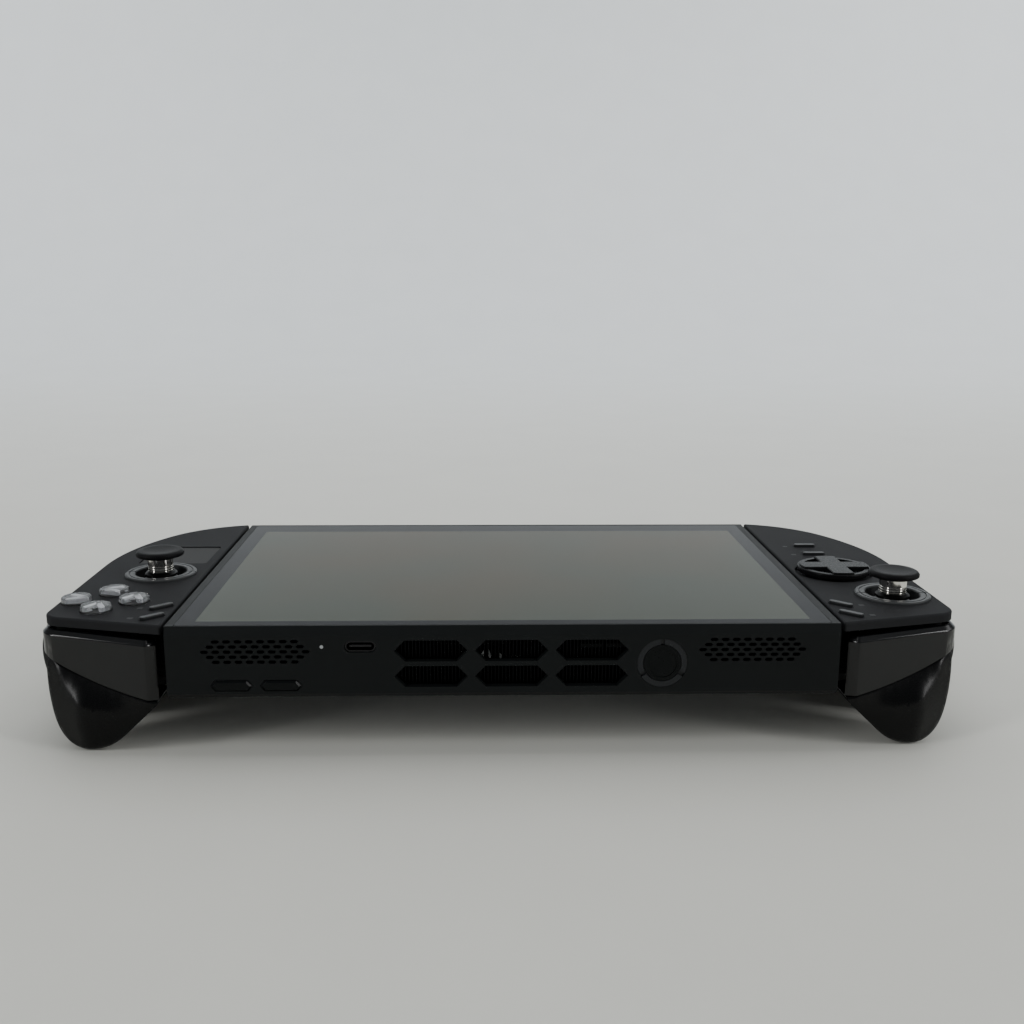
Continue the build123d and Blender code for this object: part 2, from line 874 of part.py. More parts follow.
def face_plate(holes, extras):
    """Face of a controller with its holes cut and its hanging bosses added."""
    plate = plan_prism(plate_outline(), -plate_thickness, 0)
    top = plate.faces().sort_by(Axis.Z)[-1]
    plate = fillet(top.edges(), plate_edge_round)
    plate -= plan_prism(holes, -plate_thickness - cut_overrun, cut_overrun)
    for extra in extras:
        plate += extra
    return plate


def well_outline(x, d):
    return Pos(x, y_at(d)) * Circle(stick_spigot_radius + seat_gap / 2)


def pill_outline(x, d, turn, grow):
    return Pos(x, y_at(d)) * Rot(0, 0, turn) * SlotOverall(pill_length + 2 * grow, pill_width + 2 * grow)


def pad_outline(grow):
    centre_x = pad_inner_x + pad_size / 2
    return Pos(centre_x, y_at(pad_near + pad_size / 2)) * RectangleRounded(
        pad_size + 2 * grow, pad_size + 2 * grow, pad_corner
    )


def face_button_places():
    """Name and centre of each face button."""
    return {
        "far": (face_button_x, face_button_d + face_button_spread),
        "near": (face_button_x, face_button_d - face_button_spread),
        "inner": (face_button_x - face_button_spread, face_button_d),
        "outer": (face_button_x + face_button_spread, face_button_d),
    }


def right_face_plate():
    holes = well_outline(right_stick_x, right_stick_d)
    for x, d in face_button_places().values():
        holes += Pos(x, y_at(d)) * Circle(face_button_radius + sliding_gap)
    holes += pill_outline(menu_x, menu_far_d, menu_turn, sliding_gap)
    holes += pill_outline(menu_x, menu_near_d, menu_turn, sliding_gap)
    holes += pad_outline(sliding_gap)
    return other_side(face_plate(holes, []))


def left_face_plate():
    holes = well_outline(left_stick_x, left_stick_d)
    holes += pill_outline(menu_x, menu_far_d, menu_turn, sliding_gap)
    holes += pill_outline(menu_x, menu_near_d, menu_turn, sliding_gap)
    holes += pill_outline(quick_x, quick_far_d, 0, sliding_gap)
    holes += pill_outline(quick_x, quick_near_d, 0, sliding_gap)
    holes += Pos(dpad_x, y_at(dpad_d)) * Circle(dpad_hole_radius)
    plate = face_plate(holes, dpad_posts())
    return plate - upright(dpad_x, dpad_d, -dpad_moat_depth, cut_overrun, dpad_radius + dpad_moat_gap)


def grip_section(x_out, d_near, d_far, height):
    """Level outline through a grip."""
    side_end = d_near + side_end_share * (d_far - d_near)
    outline = curved_outline(
        inner_x, x_out, d_near, d_near, side_end, (x_out - shoulder_inset, d_far - shoulder_run), d_far,
        grip_corner, small_edge_round
    )
    return Pos(0, 0, z_at(height)) * outline


def grip_body():
    """Swelling grip: an upper block beside the tablet and a handle that slopes in to a flat sole."""
    body = loft([
        grip_section(plate_half_width, grip_near, depth, -plate_thickness),
        grip_section(widest_reach, grip_near, belly_far, -belly_drop),
        grip_section(waist_reach, grip_near, waist_far, -tablet_thickness),
        grip_section(handle_reach, handle_near, handle_far, -handle_drop),
        grip_section(sole_reach, sole_near, sole_far, -face_height),
    ])
    run = (sole_inner - handle_inner) / (face_height - tablet_thickness)
    below = face_height + cut_overrun
    beside = make_face(Polyline(
        (half_tablet, -tablet_thickness),
        (handle_inner, -tablet_thickness),
        (handle_inner + run * (below - tablet_thickness), -below),
        (half_tablet, -below),
        close=True,
    ))
    body -= edge_prism(beside, -cut_overrun, depth + cut_overrun)
    slope = body.faces().filter_by(rear_button_plane())[0]
    return fillet(slope.edges(), handle_edge_round)


def deck():
    """Shelf ahead of the grip that guides the bumper's pegs and holds the trigger's pin."""
    shelf = block(deck_inner, deck_outer, deck_near, grip_near + grip_wall, -deck_bottom_drop, -deck_top_drop)
    for x in (deck_rib_inner_x, deck_rib_outer_x):
        shelf += block(
            x - deck_rib_half, x + deck_rib_half, deck_near, deck_near + deck_rib_depth,
            -deck_top_drop, -plate_thickness
        )
    ear_bottom = -trigger_pivot_drop - deck_ear_reach
    ear_top = deck_ear_width - deck_bottom_drop
    for low, high in trigger_ear_spans():
        shelf += block(low, high, deck_ear_near, deck_near + deck_rib_depth, ear_bottom, ear_top)
        shelf += block(low, high, deck_near, grip_near + grip_wall, ear_bottom, -deck_bottom_drop)
    inner_end = trigger_arm_inner - deck_ear_gap - deck_ear_width - cut_overrun
    shelf -= cross_pin(
        trigger_pivot_d, -trigger_pivot_drop, inner_end, deck_outer, trigger_pin_radius + running_gap
    )
    for x in (peg_inner_x, peg_outer_x):
        hole_end = peg_end + bumper_travel + sliding_gap
        shelf -= deep_pin(x, -peg_drop, deck_near - cut_overrun, hole_end, peg_radius + sliding_gap)
    return shelf


def trigger_ear_spans():
    """Low and high x of the two deck ears, just outside the trigger's two arms."""
    inner_high = trigger_arm_inner - deck_ear_gap
    outer_low = trigger_arm_outer + trigger_arm_width + deck_ear_gap
    return ((inner_high - deck_ear_width, inner_high), (outer_low, outer_low + deck_ear_width))


def release_outline(grow):
    return Pos(release_x, y_at(release_d)) * SlotOverall(
        release_length + 2 * grow, release_width + 2 * grow, rotation=90
    )


def rear_button_plane():
    """Plane on the inner slope of the handle, its normal pointing out of the grip."""
    lean = math.atan2(sole_inner - handle_inner, face_height - tablet_thickness)
    button_x = handle_inner + math.tan(lean) * (rear_button_drop - tablet_thickness)
    return Plane(
        origin=(button_x, y_at(rear_button_d), z_at(-rear_button_drop)),
        x_dir=(0, 1, 0),
        z_dir=(-math.cos(lean), 0, -math.sin(lean)),
    )


def rear_button_slab(grow, inside, outside):
    """Rounded slab across the handle's slope, from a depth inside it to a height outside."""
    outline = RectangleRounded(
        rear_button_length + 2 * grow, rear_button_width + 2 * grow, rear_button_corner
    )
    plane = rear_button_plane()
    return extrude(plane.offset(-inside) * outline, inside + outside)


def rail_profile_block(grow):
    """Base of the slide rail, where it sits in the grip's inner wall."""
    half = rail_base_height / 2 + grow
    return block(
        inner_x, inner_x + rail_base_thickness, rail_near - grow, rail_near + rail_length + grow,
        -rail_drop - half, half - rail_drop
    )


def slide_rail():
    rail = rail_profile_block(0)
    head_low = half_tablet - slot_lip - seat_gap - rail_head_thickness
    head_high = head_low + rail_head_thickness
    far = rail_near + rail_length
    neck = rail_neck_height / 2
    head = rail_head_height / 2
    rail += block(head_high, inner_x, rail_near, far, -rail_drop - neck, neck - rail_drop)
    return rail + block(head_low, head_high, rail_near, far, -rail_drop - head, head - rail_drop)


def flange_rooms(button_places):
    """Room in the grip's rim for the flanges of the buttons near its edge."""
    top = cut_overrun
    bottom = -deck_top_drop
    beside_tablet = block(
        inner_x + rail_base_thickness, pad_inner_x + pad_size, grip_near + grip_wall, plate_shoulder_d,
        bottom, top
    )
    menu = pill_outline(menu_x, menu_far_d, menu_turn, flange_step + sliding_gap)
    menu_room = plan_prism(menu, bottom, top)
    menu_room &= block(inner_x + menu_wall, widest_reach, 0, depth, bottom, top)
    rooms = beside_tablet + menu_room
    for x, d in button_places:
        rooms += upright(x, d, bottom, top, face_button_radius + flange_step + sliding_gap)
    return rooms


def grip_shell(stick_x, stick_d, button_places):
    shell = grip_body()
    pocket_side = grip_wall + rail_base_thickness
    pocket = curved_outline(
        inner_x + pocket_side, plate_half_width - grip_wall, grip_near + grip_wall, grip_near + grip_wall,
        plate_side_end, (plate_shoulder_x - grip_wall, plate_shoulder_d - grip_wall), depth - 2 * grip_wall,
        grip_corner, small_edge_round
    )
    shell -= plan_prism(pocket, -pocket_floor_drop, cut_overrun)
    shell -= upright(stick_x, stick_d, -pocket_floor_drop, cut_overrun, stick_well_radius)
    shell -= flange_rooms(button_places)
    shell -= rail_profile_block(running_gap)
    below = -tablet_thickness - cut_overrun
    shell -= plan_prism(release_outline(sliding_gap), below, -pocket_floor_drop)
    room_top = seat_gap - pocket_floor_drop + flange_thickness + release_travel + sliding_gap
    shell -= plan_prism(release_outline(flange_step + sliding_gap), -pocket_floor_drop, room_top)
    shell -= rear_button_slab(sliding_gap, rear_button_thickness + rear_button_room, cut_overrun)
    return shell + deck()


def release_button():
    button = plan_prism(release_outline(0), -tablet_thickness - release_proud, seat_gap - pocket_floor_drop)
    button = fillet(button.faces().sort_by(Axis.Z)[0].edges(), small_edge_round)
    top = seat_gap - pocket_floor_drop
    return button + plan_prism(release_outline(flange_step), top, top + flange_thickness)


def rear_button():
    button = rear_button_slab(0, rear_button_thickness, rear_button_proud)
    outside = button.faces().sort_by(Axis(rear_button_plane().origin, rear_button_plane().z_dir))[-1]
    return fillet(outside.edges(), rear_button_round)


def control_board():
    board = block(
        control_inner_x, control_outer_x, control_near, control_far, -pocket_floor_drop,
        board_thickness - pocket_floor_drop
    )
    chip_near = control_near + memory_chip_size
    top = board_thickness - pocket_floor_drop
    for step in (0, 1):
        x = control_inner_x + board_thickness + step * board_chip_size
        chip_far = chip_near + memory_chip_size
        board += block(x, x + memory_chip_size, chip_near, chip_far, top, top + board_chip_height)
    return board


# Thumb stick, with its pivot under the middle of the well


def stick_ring(x, d):
    ring = upright(x, d, 0, stick_ring_height, stick_ring_radius)
    ring = chamfer(ring.edges().sort_by(Axis.Z)[-1], stick_ring_bevel)
    ring += upright(x, d, -plate_thickness, 0, stick_spigot_radius)
    bore = upright(x, d, -cut_overrun, cut_overrun, stick_bore_radius)
    ring -= bore
    mouth = ring.edges().filter_by(GeomType.CIRCLE).filter_by_position(
        Axis.Z, z_at(stick_ring_height) - running_gap, z_at(stick_ring_height) + running_gap
    ).sort_by(SortBy.RADIUS)[0]
    ring = chamfer(mouth, stick_ring_bevel)
    groove_bottom = stick_ring_height - stick_groove_depth
    groove = upright(x, d, groove_bottom, cut_overrun, stick_groove_radius + stick_groove_width)
    ring -= groove - upright(x, d, groove_bottom, cut_overrun, stick_groove_radius)
    half = stick_ring_notch / 2
    reach = stick_ring_radius + cut_overrun
    notch_bottom = stick_ring_height - stick_ring_notch
    return ring - block(x - reach, x + reach, d - half, d + half, notch_bottom, cut_overrun)


def stick_base(x, d):
    top = -stick_pivot_drop - base_clear_drop
    base = block(x - base_half_x, x + base_half_x, d - base_half_y, d + base_half_y, -pocket_floor_drop, top)
    for low in (x - base_half_x, x + base_half_x - ear_thickness):
        base += block(
            low, low + ear_thickness, d - ear_half_width, d + ear_half_width, top, ear_rise - stick_pivot_drop
        )
    return base - cross_pin(
        d, -stick_pivot_drop, x - base_half_x - cut_overrun, x + base_half_x + cut_overrun,
        trunnion_radius + running_gap
    )


def gimbal_ring(x, d, height, inner, outer, half_height, pin_end):
    """Ring that turns on two outer pins along X and carries two inner pins along Y."""
    ring = upright(x, d, height - half_height, height + half_height, outer)
    ring -= upright(x, d, height - cut_overrun, height + cut_overrun, inner)
    pin_hole = outer + cut_overrun
    ring -= deep_pin(x, height, d - pin_hole, d + pin_hole, trunnion_radius + running_gap)
    middle = (inner + outer) / 2
    for low, high in ((x - pin_end, x - middle), (x + middle, x + pin_end)):
        ring += cross_pin(d, height, low, high, trunnion_radius)
    return ring


def stick_yoke(x, d):
    return gimbal_ring(
        x, d, -stick_pivot_drop, yoke_inner_radius, yoke_outer_radius, yoke_half_height, base_half_x
    )


def stick_dome(x, d):
    """Dust dome on a hub, turning in the yoke on two pins."""
    pivot = Pos(x, y_at(d), z_at(-stick_pivot_drop))
    rim_height = dome_radius * math.cos(math.radians(dome_angle))
    dome = Sphere(dome_radius) - Sphere(dome_radius - dome_wall)
    dome &= Pos(0, 0, rim_height + dome_radius) * Box(4 * dome_radius, 4 * dome_radius, 2 * dome_radius)
    hub_top = dome_radius - dome_wall / 2
    dome += Pos(0, 0, (hub_top - hub_depth) / 2) * Cylinder(hub_radius, hub_top + hub_depth)
    dome = pivot * dome
    pin_end = yoke_outer_radius
    dome += deep_pin(x, -stick_pivot_drop, d - pin_end, d + pin_end, trunnion_radius)
    return dome - upright(x, d, -2 * stick_pivot_drop, cut_overrun, stem_radius + running_gap)


def stick_shaft(x, d):
    """Stem through the dome, plated sleeve with fine grooves, and the spigot under the cap."""
    neck_bottom = dome_radius - stick_pivot_drop + neck_gap
    shaft = upright(x, d, -stick_pivot_drop - stem_depth, neck_bottom, stem_radius)
    shaft += upright(x, d, neck_bottom, sleeve_bottom, neck_radius)
    shaft += upright(x, d, sleeve_bottom, sleeve_top, sleeve_radius)
    shaft += upright(x, d, sleeve_top, sleeve_top + cap_spigot_height, cap_spigot_radius)
    for index in range(sleeve_groove_count):
        low = sleeve_bottom + sleeve_groove_pitch / 2 + index * sleeve_groove_pitch
        groove = upright(x, d, low, low + sleeve_groove, sleeve_radius + cut_overrun)
        shaft -= groove - upright(x, d, low, low + sleeve_groove, sleeve_radius - sleeve_groove)
    return shaft


def stick_cap(x, d):
    """Mushroom cap with a dished top and a soft rim, pressed on the spigot."""
    cap = upright(x, d, sleeve_top, cap_top, cap_radius)
    under = cap.edges().filter_by(GeomType.CIRCLE).sort_by(Axis.Z)[0]
    cap = chamfer(under, cap_belly - sleeve_top, cap_radius - cap_seat_radius)
    rim = cap.edges().filter_by(GeomType.CIRCLE).sort_by(Axis.Z)
    cap = fillet(rim[-1], cap_rim_round)
    belly = cap.edges().filter_by(GeomType.CIRCLE).filter_by_position(
        Axis.Z, z_at(cap_belly) - running_gap, z_at(cap_belly) + running_gap
    )
    cap = fillet(belly, cap_belly_round)
    ball_radius = (cap_rim_radius * cap_rim_radius / cap_dish_depth + cap_dish_depth) / 2
    cap -= Pos(x, y_at(d), z_at(cap_top - cap_dish_depth + ball_radius)) * Sphere(ball_radius)
    return cap - upright(x, d, sleeve_top - cut_overrun, sleeve_top + cap_spigot_height, cap_spigot_radius)


# Buttons of the faces


def face_button(x, d):
    """Clear cap with a cross-shaped stem under it."""
    cap = upright(x, d, -flange_top_drop, face_button_proud, face_button_radius)
    cap = fillet(cap.edges().sort_by(Axis.Z)[-1], face_button_round)
    bottom = -flange_top_drop - flange_thickness
    cap += upright(x, d, bottom, -flange_top_drop, face_button_radius + flange_step)
    hollow = upright(x, d, bottom - cut_overrun, 0, face_button_radius - face_stem_arm)
    long_arm = face_button_radius
    half = face_stem_arm / 2
    cross = block(x - long_arm, x + long_arm, d - half, d + half, bottom, 0)
    cross += block(x - half, x + half, d - long_arm, d + long_arm, bottom, 0)
    return cap - (hollow - cross)


def pill_button(x, d, turn):
    button = plan_prism(pill_outline(x, d, turn, 0), -flange_top_drop, pill_proud)
    button = fillet(button.faces().sort_by(Axis.Z)[-1].edges(), pill_round)
    bottom = -flange_top_drop - flange_thickness
    flange = plan_prism(pill_outline(x, d, turn, flange_step), bottom, -flange_top_drop)
    return button + (flange & block(inner_x + menu_wall + sliding_gap, widest_reach, 0, depth, bottom, 0))


def touchpad():
    pad = plan_prism(pad_outline(0), -flange_top_drop, -pad_sink)
    pad = fillet(pad.faces().sort_by(Axis.Z)[-1].edges(), small_edge_round)
    bottom = -flange_top_drop - flange_thickness
    return pad + plan_prism(pad_outline(flange_step), bottom, -flange_top_drop)


# D-pad


def dpad_posts():
    """Two posts under the left face plate that hold the rocker's outer pins."""
    posts = []
    low = dpad_ring_outer_radius + deck_ear_gap
    high = low + dpad_post_thickness
    bottom = -dpad_pivot_drop - 2 * trunnion_radius
    for start in (dpad_x - high, dpad_x + low):
        post = block(
            start, start + dpad_post_thickness, dpad_d - ear_half_width, dpad_d + ear_half_width,
            bottom, -plate_thickness
        )
        posts.append(post - cross_pin(
            dpad_d, -dpad_pivot_drop, dpad_x - high - cut_overrun, dpad_x + high + cut_overrun,
            trunnion_radius + running_gap
        ))
    return posts


def dpad_rocker():
    pin_end = dpad_ring_outer_radius + deck_ear_gap + dpad_post_thickness
    return gimbal_ring(
        dpad_x, dpad_d, -dpad_pivot_drop, dpad_ring_inner_radius, dpad_ring_outer_radius,
        dpad_ring_half_height, pin_end
    )


def dpad_cap():
    """Cross raised over a lower rim, with a well in each corner, on a stem with two pins."""
    bottom = dpad_top - dpad_thickness
    rim_top = dpad_top - dpad_rim_drop
    centre = Pos(dpad_x, y_at(dpad_d))
    cap = upright(dpad_x, dpad_d, bottom, rim_top, dpad_radius)
    cap = fillet(cap.edges().filter_by(GeomType.CIRCLE), dpad_round)
    arms = Rectangle(dpad_arm, 2 * dpad_radius) + Rectangle(2 * dpad_radius, dpad_arm)
    cap -= plan_prism(centre * (Circle(dpad_radius - dpad_rim) - arms), rim_top - dpad_well_depth, cut_overrun)
    cross = plan_prism(centre * (arms & Circle(dpad_radius - dpad_round)), rim_top - dpad_round, dpad_top)
    cap += fillet(cross.faces().sort_by(Axis.Z)[-1].edges(), dpad_arm_round)
    stem_bottom = -dpad_pivot_drop - dpad_ring_half_height
    cap += upright(dpad_x, dpad_d, stem_bottom, bottom, dpad_stem_radius)
    pin_end = dpad_ring_outer_radius
    return cap + deep_pin(dpad_x, -dpad_pivot_drop, dpad_d - pin_end, dpad_d + pin_end, trunnion_radius)


# Bumper and trigger


def bumper_front_at(x):
    """Distance of the bumper's front face at a given x: parallel to the plate's edge and proud of it."""
    return plate_near_at(x) - bumper_proud


def crease_line(drop):
    """Arc of the parting line between bumper and trigger, lowered by the given amount."""
    return ThreePointArc(
        (bumper_inner, -crease_inner_drop - drop),
        (crease_middle_x, -crease_middle_drop - drop),
        (bumper_reach, -crease_outer_drop - drop),
    )


def bumper():
    """Sloping front strip whose outer end wraps round the corner of the grip."""
    front = [
        (bumper_inner, y_at(bumper_front_at(bumper_bevel_x) + bumper_bevel_depth)),
        (bumper_bevel_x, y_at(bumper_front_at(bumper_bevel_x))),
        (bumper_reach, y_at(bumper_front_at(bumper_reach))),
        (bumper_reach, y_at(bumper_side_end)),
    ]
    inside_x = bumper_reach - bumper_side_wall
    back = [
        (inside_x, y_at(bumper_side_end)),
        (inside_x, y_at(bumper_front_at(inside_x) + bumper_wall)),
        (bumper_inner, y_at(bumper_front_at(bumper_inner) + bumper_wall)),
    ]
    plan = make_face(Polyline(*front, *back, close=True))
    plan = fillet(plan.vertices().sort_by_distance((front[2][0], front[2][1], 0))[0], bumper_corner)
    crease = crease_line(0)
    top_inner = (bumper_inner, -bumper_top_inner_drop)
    top_outer = (bumper_reach, -bumper_top_outer_drop)
    elevation = make_face(Curve() + [
        crease, Line(crease @ 1, top_outer), Line(top_outer, top_inner), Line(top_inner, crease @ 0)
    ])
    strip = plan_prism(plan, -tablet_thickness - cut_overrun, 0)
    strip &= edge_prism(elevation, -cut_overrun, bumper_side_end + cut_overrun)
    tops = strip.faces().sort_by(Axis.Z)[-1].edges()
    outside = [
        edge for edge in tops if edge.center().Y < y_at(bumper_front_at(edge.center().X) + bumper_wall / 2)
    ]
    strip = chamfer(outside, bumper_edge_bevel)
    front_face = strip.faces().filter_by(GeomType.PLANE).sort_by(SortBy.AREA)[-1]
    strip = fillet(front_face.edges().sort_by(Axis.Z)[-1], bumper_edge_round)
    for x in (peg_inner_x, peg_outer_x):
        root = bumper_front_at(x) + bumper_wall / 2
        strip += deep_pin(x, -peg_drop, root, peg_end, peg_radius)
    return strip


def trigger_outline():
    """Front view of the trigger: crease on top, straight inner flank, rounded tip, long outer cheek."""
    crease = crease_line(parting_gap)
    outer_top = (trigger_outer, -crease_height_drop(trigger_outer) - parting_gap)
    heel = (trigger_inner, -trigger_heel_drop)
    edge_points = [(x, -drop) for x, drop in zip(trigger_edge_x, trigger_edge_drop)]
    edge = Spline(heel, *edge_points, outer_top)
    body = make_face(Curve() + [
        edge, Line(outer_top, (trigger_outer, 0)), Line((trigger_outer, 0), (trigger_inner, 0)),
        Line((trigger_inner, 0), heel)
    ])
    above = make_face(Curve() + [
        crease,
        Line(crease @ 1, (bumper_reach, cut_overrun)),
        Line((bumper_reach, cut_overrun), (bumper_inner, cut_overrun)),
        Line((bumper_inner, cut_overrun), crease @ 0),
    ])
    return body - above


def crease_height_drop(x):
    """How far the parting line lies below the faces at a given x, on its circle."""
    x1, x2, x3 = bumper_inner, crease_middle_x, bumper_reach
    z1, z2, z3 = -crease_inner_drop, -crease_middle_drop, -crease_outer_drop
    turn = 2 * (x1 * (z2 - z3) + x2 * (z3 - z1) + x3 * (z1 - z2))
    squares = (x1 * x1 + z1 * z1, x2 * x2 + z2 * z2, x3 * x3 + z3 * z3)
    centre_x = (squares[0] * (z2 - z3) + squares[1] * (z3 - z1) + squares[2] * (z1 - z2)) / turn
    centre_z = (squares[0] * (x3 - x2) + squares[1] * (x1 - x3) + squares[2] * (x2 - x1)) / turn
    radius = math.hypot(x1 - centre_x, z1 - centre_z)
    rise = math.sqrt(radius * radius - (x - centre_x) ** 2)
    side = 1 if z2 > centre_z else -1
    return -(centre_z + side * rise)


def trigger_section(drop, inner_front, ridge_front, outer_front, back):
    """Level outline through the trigger: two flanks that meet in a soft ridge."""
    ridge = (trigger_ridge_x, y_at(ridge_front))
    outer = (trigger_outer + running_gap, y_at(outer_front))
    outline = make_face(Polyline(
        (trigger_inner - running_gap, y_at(inner_front)), ridge, outer,
        (trigger_outer + running_gap, y_at(back)), (trigger_inner - running_gap, y_at(back)), close=True
    ))
    ridge_corner = outline.vertices().sort_by_distance((ridge[0], ridge[1], 0))[0]
    return Pos(0, 0, z_at(-drop)) * fillet(ridge_corner, trigger_ridge_round)


def trigger():
    """Finger lever: a two-flank section that swells out under the bumper and tapers to the tip."""
    bumper_front = bumper_front_at(trigger_ridge_x)
    body = loft([
        trigger_section(
            trigger_top_drop, trigger_inner_front, bumper_front + trigger_shoulder_sink,
            trigger_shoulder_outer_front, trigger_back_top
        ),
        trigger_section(
            trigger_bulge_drop, trigger_bulge_inner_front, bumper_front - trigger_bulge_rise,
            trigger_outer_front, trigger_back_top
        ),
        trigger_section(
            trigger_tip_drop, trigger_foot_front, trigger_foot_front, trigger_foot_outer_front,
            trigger_back_foot
        ),
    ])
    body &= edge_prism(trigger_outline(), -cut_overrun, trigger_back_top + cut_overrun)
    crease_face = body.faces().sort_by(Axis.Z)[-1]
    front_edges = [edge for edge in crease_face.edges() if edge.center().Y < crease_face.center().Y]
    body = fillet(front_edges, trigger_crease_round)
    pocket_back = trigger_back_top + cut_overrun
    relief_inner = bumper_reach - bumper_side_wall - sliding_gap
    body -= block(
        relief_inner, bumper_reach, trigger_relief_near, pocket_back, -trigger_relief_drop, 0
    )
    body -= block(
        trigger_pocket_inner, trigger_pocket_outer,
        trigger_back_top - trigger_pocket_depth, pocket_back,
        -trigger_pocket_bottom_drop, -trigger_pocket_top_drop
    )
    for low in (trigger_arm_inner, trigger_arm_outer):
        high = low + trigger_arm_width
        body += cross_pin(trigger_pivot_d, -trigger_pivot_drop, low, high, trigger_boss_radius)
        near = trigger_pivot_d - trigger_boss_radius
        root = -crease_height_drop(low) - trigger_boss_radius
        body += block(low, high, near, trigger_back_top, root, -trigger_pivot_drop)
    return body - cross_pin(
        trigger_pivot_d, -trigger_pivot_drop, trigger_inner - cut_overrun, trigger_outer + cut_overrun,
        trigger_pin_radius + running_gap
    )


def trigger_pin():
    spans = trigger_ear_spans()
    return cross_pin(trigger_pivot_d, -trigger_pivot_drop, spans[0][0], spans[1][1], trigger_pin_radius)


def all_nodes():
    """Every sub-part by name."""
    button_places = face_button_places().values()
    nodes = {
        "tablet_housing": tablet_housing(),
        "rear_cover": rear_cover(),
        "cover_glass": cover_glass(),
        "display_panel": display_panel(),
        "battery_pack": battery_pack(),
        "main_board": main_board(),
        "heat_sink": heat_sink(),
        "fan_housing": fan_housing(),
        "fan_rotor": fan_rotor(),
        "speakers": speakers(),
        "usb_c_ports": usb_c_ports(),
        "status_light": status_light(),
        "power_ring": power_ring(),
        "power_button": power_button(),
        "volume_up_button": volume_button(volume_up_x),
        "volume_down_button": volume_button(volume_down_x),
        "kickstand": kickstand(),
        "left_face_plate": left_face_plate(),
        "right_face_plate": right_face_plate(),
        "left_grip_shell": grip_shell(left_stick_x, left_stick_d, []),
        "right_grip_shell": other_side(grip_shell(right_stick_x, right_stick_d, button_places)),
        "touchpad": other_side(touchpad()),
        "dpad_cap": dpad_cap(),
        "dpad_rocker": dpad_rocker(),
        "left_quick_button_far": pill_button(quick_x, quick_far_d, 0),
        "left_quick_button_near": pill_button(quick_x, quick_near_d, 0),
    }
    shared = {
        "slide_rail": slide_rail(),
        "release_button": release_button(),
        "rear_button": rear_button(),
        "control_board": control_board(),
        "bumper": bumper(),
        "trigger": trigger(),
        "trigger_pin": trigger_pin(),
        "menu_button_far": pill_button(menu_x, menu_far_d, menu_turn),
        "menu_button_near": pill_button(menu_x, menu_near_d, menu_turn),
    }
    for name, piece in shared.items():
        nodes["left_" + name] = piece
        nodes["right_" + name] = other_side(piece)
    stick_makers = {
        "stick_ring": stick_ring,
        "stick_base": stick_base,
        "stick_yoke": stick_yoke,
        "stick_dome": stick_dome,
        "stick_shaft": stick_shaft,
        "stick_cap": stick_cap,
    }
    for name, make in stick_makers.items():
        nodes["left_" + name] = make(left_stick_x, left_stick_d)
        nodes["right_" + name] = other_side(make(right_stick_x, right_stick_d))
    for place, (x, d) in face_button_places().items():
        nodes["face_button_" + place] = other_side(face_button(x, d))
    return nodes


for name, piece in all_nodes().items():
    export_step(piece, f"parts/{name}.step")
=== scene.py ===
"""Finishes, trim, studio and camera for the handheld game console."""
import logging
import math
from collections.abc import Iterable, Mapping, Sequence
from dataclasses import dataclass
from enum import Enum

import bmesh
import bpy
from mathutils import Matrix, Vector
from mathutils.bvhtree import BVHTree


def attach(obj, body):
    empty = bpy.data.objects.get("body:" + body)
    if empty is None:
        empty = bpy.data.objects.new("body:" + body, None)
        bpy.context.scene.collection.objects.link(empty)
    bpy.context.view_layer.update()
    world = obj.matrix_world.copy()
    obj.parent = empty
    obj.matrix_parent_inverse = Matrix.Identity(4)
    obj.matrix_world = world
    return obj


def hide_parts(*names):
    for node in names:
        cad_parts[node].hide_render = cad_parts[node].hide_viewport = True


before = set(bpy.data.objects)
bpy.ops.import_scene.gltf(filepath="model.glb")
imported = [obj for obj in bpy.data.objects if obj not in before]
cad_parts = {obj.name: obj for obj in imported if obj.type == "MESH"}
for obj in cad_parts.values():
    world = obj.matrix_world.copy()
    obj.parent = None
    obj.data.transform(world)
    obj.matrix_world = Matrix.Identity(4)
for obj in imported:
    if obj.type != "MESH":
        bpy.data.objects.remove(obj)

log = logging.getLogger("console")

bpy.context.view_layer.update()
MM = 0.001

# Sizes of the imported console, in millimetres
DEPTH = 136.7
FACE_HEIGHT = 42.25
TABLET_THICKNESS = 22.95
HANDLE_INNER = 112.5
SOLE_INNER = 121.3

# Faces that meet at a smaller angle, in degrees, are shaded as one
SMOOTH_ANGLE = 35.0
# Corners closer than this, in metres, are merged
MERGE_DISTANCE = 1e-7
# Stretch of a noise's range that holds most of its values
NOISE_SPAN = (0.3, 0.7)
# Colour sockets of a Mix node
MIX_LOW = 6
MIX_HIGH = 7
MIX_RESULT = 2

Number = int | float
Operand = "Value | Number"


class Side(Enum):
    """The two controllers, named from the player's side."""

    RIGHT = -1
    LEFT = 1

    @property
    def word(self) -> str:
        """Prefix of the side's nodes and bodies."""
        return self.name.lower()


def place(x: float, distance: float, height: float) -> Vector:
    """Point of the frame in metres.

    Args:
        x: Millimetres across the console.
        distance: Millimetres from the vented edge.
        height: Millimetres above the faces.

    Returns:
        The point as a vector.
    """
    return Vector((x, distance - DEPTH / 2, height + FACE_HEIGHT)) * MM


# Shader maths


